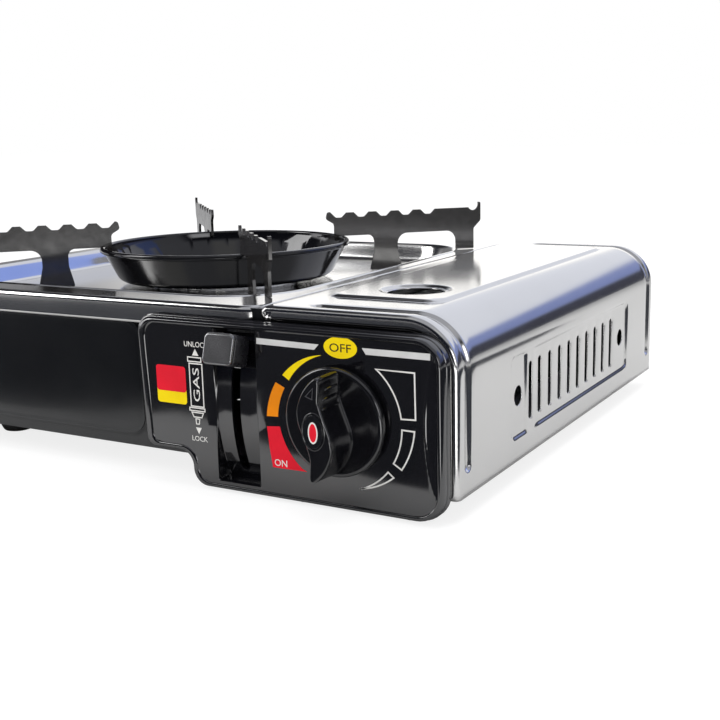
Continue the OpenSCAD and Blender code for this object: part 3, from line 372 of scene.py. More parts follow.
def grown(loop, d):
    """A counter-clockwise loop moved out by d."""
    run = np.roll(loop, -1, axis=0) - np.roll(loop, 1, axis=0)
    out = np.stack([run[:, 1], -run[:, 0]], axis=1)
    return loop + d * out / np.linalg.norm(out, axis=1)[:, None]


def rounded(box, r, steps=5):
    """Outline of a rectangle with round corners."""
    out = []
    for cx, cz, start in round_corners(box, r):
        for i in range(steps + 1):
            a = math.radians(start + 90 * i / steps)
            out.append((cx + r * math.cos(a), cz + r * math.sin(a)))
    return out


def upright_rings(steps):
    """Rings at depths, from (outline in X and Z, y) pairs."""
    return [[(x, y, z) for x, z in loop] for loop, y in steps]


# ---- materials ----


class Nodes:
    """A node tree that nodes are added to by their input values."""

    def __init__(self, tree):
        self.tree = tree

    def put(self, socket, value):
        if isinstance(value, bpy.types.NodeSocket):
            self.tree.links.new(value, socket)
        elif isinstance(value, (tuple, list)) and len(value) == 3 and len(socket.default_value) == 4:
            socket.default_value = (*value, 1)
        else:
            socket.default_value = value

    def add(self, kind, inputs=None, **settings):
        node = self.tree.nodes.new(kind)
        for key, value in settings.items():
            setattr(node, key, value)
        for key, value in (inputs or {}).items():
            self.put(node.inputs[key], value)
        return node

    def mix(self, factor, a, b):
        return self.add("ShaderNodeMix", {0: factor, 6: a, 7: b}, data_type="RGBA").outputs[2]


class Look(Nodes):
    """A node material around one Principled shader."""

    def __init__(self, name, **values):
        self.mat = bpy.data.materials.new(name)
        self.mat.use_nodes = True
        super().__init__(self.mat.node_tree)
        self.shader = self.tree.nodes["Principled BSDF"]
        for key, value in values.items():
            self.put(self.shader.inputs[key.replace("_", " ")], value)
        self.where = self.add("ShaderNodeTexCoord").outputs["Object"]

    def noise(self, size, detail=3, roughness=0.5):
        """Noise with features of about size millimetres."""
        values = {"Vector": self.where, "Scale": 1 / (size * MM), "Detail": detail, "Roughness": roughness}
        return self.add("ShaderNodeTexNoise", values).outputs["Fac"]

    def span(self, value, low, high, start=0.3, end=0.7):
        """value from start..end mapped to low..high."""
        return self.add(
            "ShaderNodeMapRange",
            {"Value": value, "From Min": start, "From Max": end, "To Min": low, "To Max": high},
        ).outputs[0]

    def colour(self, factor, a, b):
        self.put(self.shader.inputs["Base Color"], self.mix(self.span(factor, 0, 1), a, b))

    def rough(self, factor, low, high):
        self.put(self.shader.inputs["Roughness"], self.span(factor, low, high))

    def relief(self, *layers):
        """Bump from (height, strength, depth in millimetres) layers."""
        normal = None
        for height, strength, depth in layers:
            values = {"Height": height, "Strength": strength, "Distance": depth * MM}
            node = self.add("ShaderNodeBump", values)
            if normal:
                self.put(node.inputs["Normal"], normal)
            normal = node.outputs[0]
        self.put(self.shader.inputs["Normal"], normal)
        return self


def painted_steel():
    look = Look("plate_satin_silver", Metallic=1.0)
    look.colour(look.noise(60, 2), (0.64, 0.635, 0.625), (0.68, 0.675, 0.665))
    look.rough(look.noise(45, 2), 0.11, 0.15)
    return look.relief((look.noise(30, 1), 0.02, 0.2)).mat


def black_case():
    look = Look("case_black_lacquer", Specular_IOR_Level=0.55, Coat_Weight=0.3, Coat_Roughness=0.12)
    look.colour(look.noise(40), (0.0025, 0.003, 0.004), (0.004, 0.0048, 0.006))
    look.rough(look.noise(30, 2), 0.20, 0.26)
    return look.relief((look.noise(1.2, 2), 0.03, 0.04)).mat


def gloss_plastic(name="panel_gloss_black", low=0.08, high=0.13, ior=1.9):
    look = Look(name, IOR=ior, Specular_IOR_Level=0.6)
    look.colour(look.noise(30), (0.003, 0.003, 0.004), (0.005, 0.005, 0.0065))
    look.rough(look.noise(22, 2), low, high)
    return look.relief((look.noise(20, 1), 0.08, 0.5)).mat


def black_enamel():
    look = Look("enamel_black", Specular_IOR_Level=0.55, Coat_Weight=0.3, Coat_Roughness=0.04)
    look.colour(look.noise(12), (0.003, 0.003, 0.004), (0.005, 0.005, 0.0065))
    look.rough(look.noise(9, 2), 0.05, 0.10)
    return look.relief((look.noise(12, 1), 0.10, 0.3)).mat


def support_enamel():
    look = Look("support_enamel", Specular_IOR_Level=0.6, Coat_Weight=0.3, Coat_Roughness=0.08)
    look.colour(look.noise(8, 3), (0.009, 0.008, 0.008), (0.016, 0.014, 0.013))
    look.rough(look.noise(5, 2), 0.14, 0.24)
    return look.relief((look.noise(2.5, 2), 0.12, 0.10)).mat


def plain_metal(name, tint, low, high, grain=0.7):
    look = Look(name, Metallic=1.0)
    pale = tuple(min(1, c * 1.12) for c in tint)
    look.colour(look.noise(15, 3), tint, pale)
    look.rough(look.noise(2.5, 4), low, high)
    return look.relief((look.noise(grain, 3), 0.15, 0.06)).mat


def plain_plastic(name, tint, low, high, shine=0.5):
    look = Look(name, Specular_IOR_Level=shine)
    pale = tuple(min(1, c * 1.15) for c in tint)
    look.colour(look.noise(9, 3), tint, pale)
    look.rough(look.noise(4, 4), low, high)
    return look.relief((look.noise(0.6, 2), 0.12, 0.05)).mat


def gunmetal():
    look = Look(
        "cap_gunmetal", Metallic=0.75, Specular_IOR_Level=0.6, Coat_Weight=0.5, Coat_Roughness=0.06
    )
    look.colour(look.noise(14, 2), (0.16, 0.16, 0.165), (0.24, 0.24, 0.245))
    look.rough(look.noise(9, 2), 0.16, 0.24)
    return look.relief((look.noise(12, 1), 0.04, 0.2)).mat


MATERIALS = {
    "plate": painted_steel(),
    "case": black_case(),
    "panel": gloss_plastic(),
    "knob": gloss_plastic("knob_gloss_black", 0.12, 0.17, 1.7),
    "enamel": black_enamel(),
    "support": support_enamel(),
    "zinc": plain_metal("zinc_sheet", (0.56, 0.57, 0.58), 0.28, 0.42),
    "screw": plain_metal("screw_zinc", (0.60, 0.60, 0.58), 0.22, 0.32),
    "pin": plain_metal("pin_steel", (0.35, 0.35, 0.36), 0.25, 0.35),
    "alloy": plain_metal("cast_alloy", (0.52, 0.52, 0.51), 0.38, 0.55, 0.5),
    "pipe": plain_metal("pipe_steel", (0.55, 0.54, 0.52), 0.24, 0.34),
    "brass": plain_metal("turned_brass", (0.68, 0.52, 0.24), 0.22, 0.34),
    "cap": gunmetal(),
    "grip": plain_plastic("grip_black", (0.012, 0.012, 0.014), 0.22, 0.34),
    "foot": plain_plastic("foot_rubber", (0.02, 0.02, 0.02), 0.6, 0.75),
    "seal": plain_plastic("seal_rubber", (0.015, 0.015, 0.015), 0.5, 0.65),
    "igniter": plain_plastic("igniter_blue", (0.03, 0.06, 0.22), 0.3, 0.4),
    "white_plastic": plain_plastic("white_plastic", (0.75, 0.75, 0.70), 0.35, 0.45),
    "lead": plain_plastic("lead_silicone", (0.45, 0.05, 0.03), 0.45, 0.55),
    "ceramic": plain_plastic("ceramic_white", (0.78, 0.77, 0.72), 0.4, 0.55),
    "mark_grey": plain_plastic("mark_grey", (0.05, 0.05, 0.055), 0.25, 0.35),
    "print_black": plain_plastic("print_black", (0.012, 0.012, 0.012), 0.3, 0.4),
}


INKS = {
    "print_white": (0.72, 0.71, 0.68),
    "print_silver": (0.60, 0.60, 0.59),
    "print_yellow": (0.90, 0.66, 0.0),
    "print_orange": (0.80, 0.235, 0.0),
    "print_red": (0.72, 0.008, 0.025),
}
for ink, tint in INKS.items():
    MATERIALS[ink] = plain_plastic(ink, tint, 0.4, 0.5, shine=0.15)


def dress(obj, look):
    obj.data.materials.clear()
    obj.data.materials.append(MATERIALS[look])


# ---- the CAD nodes that stay ----


SHARP_ANGLE = 32


def edge_finish():
    """Node group that merges a mesh's seams and shades it smooth up to SHARP_ANGLE degrees."""
    group = bpy.data.node_groups.new("edge_finish", "GeometryNodeTree")
    group.interface.new_socket("Geometry", in_out="INPUT", socket_type="NodeSocketGeometry")
    group.interface.new_socket("Geometry", in_out="OUTPUT", socket_type="NodeSocketGeometry")
    make, link = group.nodes.new, group.links.new
    source, target = make("NodeGroupInput"), make("NodeGroupOutput")
    merge = make("GeometryNodeMergeByDistance")
    merge.inputs["Distance"].default_value = 1e-6
    angle = make("GeometryNodeInputMeshEdgeAngle")
    steep = make("FunctionNodeCompare")
    steep.operation = "GREATER_THAN"
    steep.inputs[1].default_value = math.radians(SHARP_ANGLE)
    normals = make("GeometryNodeSetMeshNormal")
    normals.mode = "SHARPNESS"
    link(source.outputs[0], merge.inputs["Geometry"])
    link(merge.outputs[0], normals.inputs["Mesh"])
    link(angle.outputs["Unsigned Angle"], steep.inputs[0])
    link(steep.outputs[0], normals.inputs["Edge Sharpness"])
    link(normals.outputs[0], target.inputs[0])
    return group


EDGE_FINISH = edge_finish()


def keep_node(node, look, width, segments=2):
    """Dresses a CAD node and rounds its edges by a width in millimetres."""
    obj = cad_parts[node]
    dress(obj, look)
    obj.modifiers.new("seams", "NODES").node_group = EDGE_FINISH
    if width:
        flat = obj.modifiers.new("flat_faces", "DECIMATE")
        flat.decimate_type = "DISSOLVE"
        flat.angle_limit = math.radians(0.4)
        bevel = soften(obj, width, segments, SHARP_ANGLE)
        bevel.harden_normals = True


# Look, edge width and, where it isn't 2, segments; then the nodes
KEPT = [
    (("case", 0.5), ["base_pan"]),
    (("case", 0), ["gas_lever"]),
    (("foot", 0.8), ["feet"]),
    (("screw", 0.3), ["top_plate_screws", "panel_screws"]),
    (("screw", 0.2), ["regulator_screws", "hinge_pins"]),
    (("zinc", 0), ["partition", "guide_plate", "cartridge_cradle", "pusher_guides", "mixing_tube"]),
    (("zinc", 0), ["burner_bracket", "electrode_bracket", "igniter_bracket", "lever_bracket"]),
    (("zinc", 0), ["pusher_carriage"]),
    (("alloy", 0.6), ["regulator_body"]),
    (("alloy", 0.5), ["burner_cap"]),
    (("alloy", 0.4), ["burner_base"]),
    (("alloy", 0.3), ["regulator_cover", "burner_head"]),
    (("seal", 0.2), ["inlet_seal"]),
    (("pipe", 0), ["gas_pipe"]),
    (("brass", 0.3), ["jet_holder"]),
    (("brass", 0.2), ["pipe_nuts"]),
    (("brass", 0), ["jet_nozzle", "valve_spindle"]),
    (("ceramic", 0.2), ["electrode_insulator"]),
    (("pin", 0.2), ["lever_pivot_pin"]),
    (("pin", 0), ["electrode_rod", "link_pin"]),
    (("igniter", 0.3), ["igniter_body"]),
    (("lead", 0), ["igniter_lead"]),
    (("white_plastic", 0), ["igniter_cam", "igniter_plunger"]),
    (("enamel", 0.3), ["drip_bowl"]),
    (("support", 0.4), ["pan_support_front_right", "pan_support_rear_right"]),
    (("support", 0.4), ["pan_support_rear_left", "pan_support_front_left"]),
    (("panel", 0.1), ["knob_emblem"]),
    (("grip", 1.2), ["lever_grip"]),
    (("cap", 1.8, 4), ["lever_grip_cap"]),
]

for settings, nodes in KEPT:
    for node in nodes:
        keep_node(node, *settings)


# ---- cover ----

CURL_SWEEP = math.radians(300)
BEND_AT = RIGHT - LID_R - HINGE_X
SIDE_AT = BEND_AT + LID_R * math.pi / 2
SECTION_END = SIDE_AT + LID_Z - LID_R - LID_BOTTOM


def lid_section(s, d):
    """Point (x, z) of the cover's section at length s from the hinge, sunk in by d."""
    s, d = np.broadcast_arrays(np.asarray(s, float), np.asarray(d, float))
    curl, curl_r = math.pi / 2 - s / CURL_R, CURL_R - np.minimum(d, CURL_R)
    bend, bend_r = math.pi / 2 - (s - BEND_AT) / LID_R, LID_R - d
    on_curl = HINGE_X + curl_r * np.cos(curl), LID_Z - CURL_R + curl_r * np.sin(curl)
    on_top = HINGE_X + s, LID_Z - d
    on_bend = RIGHT - LID_R + bend_r * np.cos(bend), LID_Z - LID_R + bend_r * np.sin(bend)
    on_side = RIGHT - d, LID_Z - LID_R - (s - SIDE_AT)
    regions = [s < 0, s <= BEND_AT, s < SIDE_AT]
    return tuple(np.select(regions, (on_curl[i], on_top[i], on_bend[i]), on_side[i]) for i in range(2))


def top_s(x):
    """Length along the section at a place on the top."""
    return x - HINGE_X


def side_s(z):
    """Length along the section at a height on the side."""
    return SIDE_AT + LID_Z - LID_R - z


def slot_distance(z, y):
    """Distance to the nearest vent slot, negative inside."""
    k = np.clip(np.round((y - SLOT_Y - SLOT_W / 2) / SLOT_PITCH), 0, SLOT_COUNT - 1)
    middle = SLOT_Y + SLOT_W / 2 + k * SLOT_PITCH
    box = (SLOT_Z[0], -SLOT_W / 2, SLOT_Z[1], SLOT_W / 2)
    return box_distance(z, y - middle, box, SLOT_W / 2 - 0.1)


def lid_relief(s, y):
    """Height of the pressed shapes over the cover's plain surface."""
    x = HINGE_X + s
    z = LID_Z - LID_R - (s - SIDE_AT)
    field = FIELD_H * step_up(0.5 - box_distance(x, y, FIELD, 6) / 2.2)
    ring = np.hypot(x - SIGHT[0], y - SIGHT[1])
    field = np.where(s < BEND_AT, field * step_up((ring - 14.6) / 1.6), 0)
    trench = (
        top_s(GROOVE_START_X), HALF_D - GROOVE_AT - GROOVE_W, side_s(GROOVE_END_Z), HALF_D - GROOVE_AT
    )
    along = box_distance(s, np.abs(y), trench, 2.4)
    groove = -GROOVE_DEPTH * step_up(0.5 - along / 2)
    vent = box_distance(y, z, VENT, 4)
    tab = box_distance(y, z, (SLOT_Y - 3.6, VENT[1] - 1, SLOT_Y + SLOT_W + 3.6, VENT[3] + 1), 2)
    sunk = -VENT_DEPTH * step_up(0.5 - vent / 2.6) * (1 - 0.75 * step_up(0.5 - tab / 2))
    lips = -0.3 * np.exp(-(np.maximum(slot_distance(z, y), 0) / 0.9) ** 2)
    return np.where(s < SIDE_AT - 2, field + groove, groove + sunk + lips * (vent < 0))


def lid_open(s, y):
    """Positive where the cover has metal."""
    z = LID_Z - LID_R - (s - SIDE_AT)
    ring = np.hypot(HINGE_X + s - SIGHT[0], y - SIGHT[1]) - SIGHT_R
    metal = np.where(s < BEND_AT, ring, 1.0)
    holes = np.minimum.reduce([np.hypot(z - hz, y - hy) - VENT_HOLE_R for hy, hz in VENT_HOLES])
    return np.where(s > SIDE_AT - 1, np.minimum(slot_distance(z, y), holes), metal)


def lid_profile(v):
    """Distance in from the end face, and sinking of the section, along the cover's depth.

    v runs along Y; past the two ends it runs up the turned-in flange.
    """
    over = np.maximum(np.abs(v) - HALF_D, 0)
    inward = HALF_D - np.minimum(np.abs(v), HALF_D)
    a = np.clip(inward / END_R, 0, 1) * math.pi / 2
    near = inward < END_R
    y = np.where(near, HALF_D - END_R + END_R * np.cos(a), HALF_D - inward)
    d = np.where(near, END_R * (1 - np.sin(a)), 0) + over
    return np.sign(v) * y, d


def lid_surface(s, v):
    y, d = lid_profile(v)
    rise = lid_relief(s, y)
    x, z = lid_section(s, d - rise)
    return np.stack([x, y, z], axis=-1)


def build_lid():
    starts = [SLOT_Y + k * SLOT_PITCH for k in range(SLOT_COUNT)]
    slots = [(y - 0.6, y + SLOT_W + 0.6, 0.55) for y in starts]
    holes = [(y - 5.4, y + 5.4, 0.6) for y, _ in VENT_HOLES]
    groove = [(HALF_D - GROOVE_AT - GROOVE_W - 1.2, HALF_D - GROOVE_AT + 1.2, 0.5)]
    ends = [(HALF_D - END_R, HALF_D, 0.4), (HALF_D, HALF_D + FLANGE - END_R, 2)]
    edges = [(c - 1.6, c + 1.6, 0.5) for c in (VENT[0], VENT[2], FIELD[1], FIELD[3])]
    both = [span for a, b, c in groove + ends for span in ((a, b, c), (-b, -a, c))]
    ring = [(SIGHT[1] - SIGHT_RING_R, SIGHT[1] + SIGHT_RING_R, 0.8)]
    reach = HALF_D + FLANGE - END_R
    vs = lines(-reach, reach, 5, both + edges + slots + holes + ring)
    curl = -CURL_R * CURL_SWEEP
    tops = [(top_s(x) - 1.8, top_s(x) + 1.8, 0.5) for x in (FIELD[0], FIELD[2])]
    tops.append((top_s(SIGHT[0]) - SIGHT_RING_R, top_s(SIGHT[0]) + SIGHT_RING_R, 0.8))
    tops.append((top_s(GROOVE_START_X) - 1, top_s(GROOVE_START_X) + 3, 0.5))
    bend = [(BEND_AT, SIDE_AT, LID_R * math.pi / 48)]
    levels = (VENT[1], VENT[3], SLOT_Z[0] + 1, SLOT_Z[1] - 1, GROOVE_END_Z)
    sides = [(side_s(z) - 1.7, side_s(z) + 1.7, 0.45) for z in levels]
    sides.append((side_s(VENT_HOLE_Z) - 5.4, side_s(VENT_HOLE_Z) + 5.4, 0.6))
    ss = lines(curl, SECTION_END, 4, [(curl, 0, CURL_R * math.radians(12))] + tops + bend + sides)

    def metal(s, v):
        return lid_open(s, lid_profile(v)[0])

    points, faces = clipped_grid(ss, vs, metal, lid_surface)
    lid = new_piece("cover_shell", points, faces)
    thicken(lid, SHEET)
    dress(lid, "plate")
    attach(lid, "lid")
    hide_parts("lid")


build_lid()


# ---- top plate ----


def build_top_plate():
    outer = (LEFT, -HALF_D, PLATE_RIGHT, HALF_D)

    def inset(box, d):
        return (box[0] + d, box[1] + d, box[2] - d, box[3] - d)

    rings = []
    for z in (SKIRT_Z, SKIRT_Z + 1.5, PLATE_Z - 2.6):
        rings.append(rect_ring(outer, PLATE_R, z))
    for k in range(1, 7):
        a = math.radians(15 * k)
        d = PLATE_EDGE_R * (1 - math.cos(a))
        height = PLATE_Z - PLATE_EDGE_R * (1 - math.sin(a))
        rings.append(rect_ring(inset(outer, d), PLATE_R - d, height))
    rings.append(rect_ring(inset(outer, 3.2), 8.8, PLATE_Z))
    rings.append(rect_ring(inset(TRAY, -4), TRAY_R + 4, PLATE_Z))
    # A low bead, then the bend over the tray's edge
    for d, z in ((-3, 0.05), (-2.1, 0.35), (-1.2, 0.45), (-0.4, 0.2), (0.3, -0.6), (0.9, -1.8)):
        rings.append(rect_ring(inset(TRAY, d), TRAY_R - d, PLATE_Z + z))
    floor = PLATE_Z - TRAY_DEPTH
    for t in (0.5, 0.75):
        d = TRAY_SLOPE * t
        rings.append(rect_ring(inset(TRAY, d), TRAY_R - d, PLATE_Z - TRAY_DEPTH * t))
    for k in range(6):
        a = math.radians(FILLET_START + FILLET_STEP * k)
        d = 5.49 - FILLET_R * math.cos(a)
        rings.append(rect_ring(inset(TRAY, d), TRAY_R - d, floor + FILLET_R * (1 - math.sin(a))))
    last = rect_ring(inset(TRAY, 9), TRAY_R - 9, floor)
    rings.append(last)
    for out, z in ((6, 0), (1.5, 0.1), (0, 0.9), (-0.4, 1.8)):
        r = TRAY_HOLE_R + out
        ring = []
        for x, y, _ in last:
            a = math.atan2(y - BURNER[1], x - BURNER[0])
            ring.append((BURNER[0] + r * math.cos(a), BURNER[1] + r * math.sin(a), floor + z))
        rings.append(ring)
    points, faces = loft(rings)
    plate = new_piece("top_plate_pressing", points, faces)
    thicken(plate, SHEET)
    dress(plate, "plate")
    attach(plate, "case")
    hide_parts("top_plate")


build_top_plate()


# ---- control panel ----


def panel_outline(d, side=0.0, corner_r=13.0):
    """Front elevation of the panel, inset by d, and on its left by side as well."""
    x0 = PANEL_X0 + d + side
    notch = STEP[0] + d + side / 3
    corners = [
        (x0 + PANEL_LEAN, STEP[1] + d), (notch, STEP[1] + d), (notch, PANEL_Z0 + d),
        (PANEL_X1 - d, PANEL_Z0 + d), (PANEL_X1 - d, PANEL_Z1 - d), (x0, PANEL_Z1 - d),
    ]
    return rounded_path(corners, [5 - d / 2, 7 + d / 2, 8 - d / 2, 13 - d, corner_r - d, 8 - d / 2])


def panel_face(x, z):
    """Depth of the panel's face: sunk in the trough, sloping back right of the dial."""
    x, z = np.asarray(x, float), np.asarray(z, float)
    crease = CREASE_X + 0.0054 * (z - CREASE_Z) ** 2
    y = FACE_Y + 0.16 * np.maximum(0, x - crease) - 0.3 * np.exp(-(((x - crease) / 0.5) ** 2))
    floor = LEVER_Y - np.sqrt(np.maximum(TROUGH_R**2 - (z - LEVER_Z) ** 2, 1))
    within = step_up((x - TROUGH[0]) / 0.9) * step_up((TROUGH[2] - x) / 0.9)
    within = within * step_up((z - TROUGH[1]) / 1.6) * step_up((TROUGH[3] - z) / 1.6)
    return y + within * np.maximum(0, floor - FACE_Y)


def build_panel():
    # The neck, then the body: inset, inset on the left as well, and depth
    neck = [(4, PANEL_BACK_Y), (4, PANEL_NECK_Y)]
    body = [(0.3, 0, PANEL_NECK_Y), (0, 0, PANEL_NECK_Y - 0.3)]
    body += [(0, 0, PANEL_Y + 4.8), (0.12, 0.1, PANEL_Y + 4.35), (0.4, 0.35, PANEL_Y + 4.1)]
    for k in range(1, 9):
        a = math.radians(90 * k / 8)
        turn = 1 - math.cos(a)
        body.append((0.4 + 1.3 * turn, 0.35 + 3.2 * turn, PANEL_Y + 4.1 - 4.0 * math.sin(a)))
    # The bead along the edge of the face
    for d, back in ((2.05, 0), (2.45, 0.03), (2.8, 0.25), (3.1, 0.6), (3.3, 1.1)):
        body.append((d, 3.6, PANEL_Y + back))
    steps = [(panel_outline(d, corner_r=21), y) for d, y in neck]
    steps += [(panel_outline(d, side), y) for d, side, y in body]
    points, faces = loft(upright_rings(steps))
    edge = panel_outline(3.0, 3.6)
    slot = (LEVER_X - 2.3, LEVER_Z - 30.5, LEVER_X + 2.3, LEVER_Z + 30.5)

    def metal(x, z):
        return np.minimum(inside_distance(edge, x, z), box_distance(x, z, slot, 2.2))

    xs = lines(PANEL_X0, PANEL_X1, 5, [
        (TROUGH[0], TROUGH[0] + 1, 0.2), (TROUGH[2] - 1, TROUGH[2], 0.2),
        (slot[0], slot[2], 0.9), (CREASE_X - 1.6, CREASE_X + 8.4, 0.25),
    ])
    zs = lines(PANEL_Z0, PANEL_Z1, 3, [
        (TROUGH[1], TROUGH[1] + 1.8, 0.3), (TROUGH[3] - 1.8, TROUGH[3], 0.3),
        (slot[1], slot[1] + 2.4, 0.6), (slot[3] - 2.4, slot[3], 0.6),
    ])

    def face_points(x, z):
        return np.stack([x, panel_face(x, z), z], axis=-1)

    add_skin(points, faces, *clipped_grid(xs, zs, metal, face_points))
    # Two pads that the panel stands on
    turn = [2 * math.pi * i / 20 for i in range(20)]
    y = (PANEL_Y + 4 + PANEL_NECK_Y) / 2
    for x in (PANEL_X0 + 86, PANEL_X1 - 18):
        rings = []
        for r, z in ((1.3, 0.0), (1.6, 0.12), (1.7, 0.4), (1.7, 1.2)):
            rings.append([(x + r * math.cos(a), y + r * math.sin(a), z) for a in turn])
        add_skin(points, faces, *loft(rings, close_first=True))
    # Tab under the pan's floor that closes the view through the slot
    tab = rounded((LEVER_X - 8, PANEL_Z0 + 8.6, LEVER_X + 8, PANEL_Z0 + 10.4), 0.6)
    ends = upright_rings([(tab, PANEL_BACK_Y + 11), (tab, PANEL_BACK_Y - 0.4)])
    add_skin(points, faces, *loft(ends, True, True))
    panel = new_piece("panel_moulding", points, faces)
    thicken(panel, PANEL_WALL)
    panel.modifiers.new("creases", "NODES").node_group = EDGE_FINISH
    dress(panel, "panel")
    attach(panel, "case")
    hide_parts("control_panel")


build_panel()


def build_front_field():
    """Soft-edged raised field on the pan's front, over the CAD's own field."""
    wall = node_span("base_pan")[0][1] - CASE_Y + 1.6
    box = (LEFT + 11, 18.5, LID_X - 68.6, PLATE_Z - 9)
    # How far each ring lies outside the field's edge, and in front of the wall
    swell = (
        (2.4, 0.03), (1.5, -0.12), (0.8, -0.42), (0.2, -0.85), (-0.4, -1.25), (-1.2, -1.55),
        (-2.2, -1.7), (-3.4, -1.75), (-6, -1.76),
    )
    steps = []
    for g, y in swell:
        grow = (box[0] - g, box[1] - g, box[2] + g, box[3] + g)
        steps.append([(x, wall + y, z) for x, z, _ in rect_ring(grow, 9 + g, 0)])
    points, faces = loft(steps, close_last=True)
    field = new_piece("front_field", points, faces)
    dress(field, "case")
    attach(field, "case")


build_front_field()


# ---- knob ----

# Right half of the blade's outline, around the knob's axis; the left half is its turned copy
BLADE_HALF = [
    (0.6, 21.6), (2.6, 20.8), (2.5, 16.5), (2.3, 12), (3.7, 7),
    (5.6, 2.2), (7.5, -3), (7.8, -8), (6.3, -13), (3.6, -17.6),
]
# Both ends of the three grip ribs on the blade's flank: x and z from the axis, y of the case
RIBS = [
    ((2.9, -159, 16.4), (3.1, -151, 16.8)),
    ((2.6, -160.5, 12.5), (2.9, -151, 13)),
    ((3.3, -161.8, 9), (3.6, -151, 9.2)),
]


def round_ring(cx, cz, rx, rz, y, count):
    turns = [2 * math.pi * i / count for i in range(count)]
    return [(cx + rx * math.cos(a), y, cz + rz * math.sin(a)) for a in turns]


def knob_blade(points, faces):
    """Adds the S-shaped blade, whose front face is a grid of its own."""
    cx, cz = KNOB
    half = BLADE_HALF[::-1]
    leaf = smooth_loop(half + [(-x, -z) for x, z in half])
    # How far out of the leaf each ring lies, and its depth from the back, then from the front
    root = [(1.6, -2.6), (0.9, -3.6), (0.6, -5), (0.3, -11)]
    edge = [(0.1, 1.2), (0.04, 0.85), (-0.06, 0.55), (-0.24, 0.26), (-0.5, 0.07), (-0.8, 0), (-1.0, 0)]
    steps = [(d, KNOB_BACK + y) for d, y in root] + [(d, BLADE_FRONT + y) for d, y in edge]
    rings = []
    for d, y in steps:
        loop = grown(leaf, d)
        reach = np.linalg.norm(loop, axis=1)
        loop = loop * np.minimum(1, (KNOB_R - 0.9) / reach)[:, None]
        rings.append([(cx + x, y, cz + z) for x, z in loop])
    add_skin(points, faces, *loft(rings))

    def inner(x, z):
        return inside_distance(leaf, x, z) - 0.85

    def front_points(x, z):
        return np.stack([cx + x, np.full(x.shape, BLADE_FRONT - 0.01), cz + z], axis=-1)

    across = np.arange(-9.5, 9.6, 0.5)
    upward = np.arange(-23, 23.1, 0.5)
    add_skin(points, faces, *clipped_grid(across, upward, inner, front_points))


def grip_rib(a, b):
    """Round-ended rib from a to b."""
    a, b = Vector(a), Vector(b)
    along = (b - a).normalized()
    across = along.cross(Vector((0, 0, 1))).normalized()
    up = across.cross(along)
    turns = [k * math.pi / 5 for k in range(10)]
    rings = []
    for t, r in ((-0.10, 0.05), (-0.07, 0.35), (0, 0.55), (0.5, 0.6), (1, 0.55), (1.07, 0.35), (1.10, 0.05)):
        c = a + (b - a) * t
        spots = [c + (across * math.cos(turn) + up * math.sin(turn)) * r for turn in turns]
        rings.append([(KNOB[0] + q.x, q.y, KNOB[1] + q.z) for q in spots])
    return loft(rings, close_first=True, close_last=True)


def build_knob():
    cx, cz = KNOB
    # How far inside the knob's radius and in front of its back each ring lies
    profile = [
        (1.2, 0), (0, -0.7), (0, -2.5), (0.25, -3.1), (0.7, -3.5), (1.3, -3.7),
        (2.0, -3.62), (3.2, -3.3), (6, -3.05), (KNOB_R - 8, -2.9),
    ]
    rings = [round_ring(cx, cz, KNOB_R - d, KNOB_R - d, KNOB_BACK + y, 96) for d, y in profile]
    points, faces = loft(rings, close_first=True, close_last=True)
    knob_blade(points, faces)
    # Raised rim around the emblem
    rim = [
        (5.5, 8.0, 0.02), (5.35, 7.8, -0.2), (5.15, 7.55, -0.29),
        (4.95, 7.35, -0.26), (4.8, 7.2, -0.1), (4.75, 7.15, 0.02),
    ]
    add_skin(points, faces, *loft([round_ring(cx, cz, rx, rz, BLADE_FRONT + y, 56) for rx, rz, y in rim]))
    for a, b in RIBS:
        add_skin(points, faces, *grip_rib(a, b))
    knob = new_piece("knob_moulding", points, faces)
    knob.modifiers.new("creases", "NODES").node_group = EDGE_FINISH
    dress(knob, "knob")
    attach(knob, "knob")
    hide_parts("knob")


build_knob()


# ---- printing on the panel ----


def polar(angle, r):
    a = math.radians(angle)
    return (KNOB[0] + r * math.cos(a), KNOB[1] + r * math.sin(a))


def sector(a0, a1, inner, outer, steps=16):
    """Outline between two radii, each given as a value at a0 and a1."""
    def along(pair, t):
        return pair[0] + (pair[1] - pair[0]) * t

    forward = [polar(a0 + (a1 - a0) * i / steps, along(inner, i / steps)) for i in range(steps + 1)]
    back = [polar(a1 + (a0 - a1) * i / steps, along(outer, 1 - i / steps)) for i in range(steps + 1)]
    return forward + back


def ellipse(cx, cz, rx, rz, steps=40):
    turn = 2 * math.pi / steps
    return [(cx + rx * math.cos(turn * i), cz + rz * math.sin(turn * i)) for i in range(steps)]


def outline(points, width):
    """A closed line of a width inside the given outline, as quads."""
    n = len(points)
    pts = [Vector(p) for p in points]
    area = sum(pts[i].x * pts[(i + 1) % n].y - pts[(i + 1) % n].x * pts[i].y for i in range(n))
    turn = 1 if area > 0 else -1
    inner = []
    for i in range(n):
        before = (pts[i] - pts[i - 1]).normalized()
        after = (pts[(i + 1) % n] - pts[i]).normalized()
        n0 = Vector((-before.y, before.x)) * turn
        n1 = Vector((-after.y, after.x)) * turn
        middle = n0 + n1
        middle = middle / max(middle.length_squared / 2, 0.35) if middle.length > 1e-6 else n0
        inner.append(pts[i] + middle * width)
    quads = []
    for i in range(n):
        j = (i + 1) % n
        quads.append([tuple(pts[i]), tuple(pts[j]), tuple(inner[j]), tuple(inner[i])])
    return quads


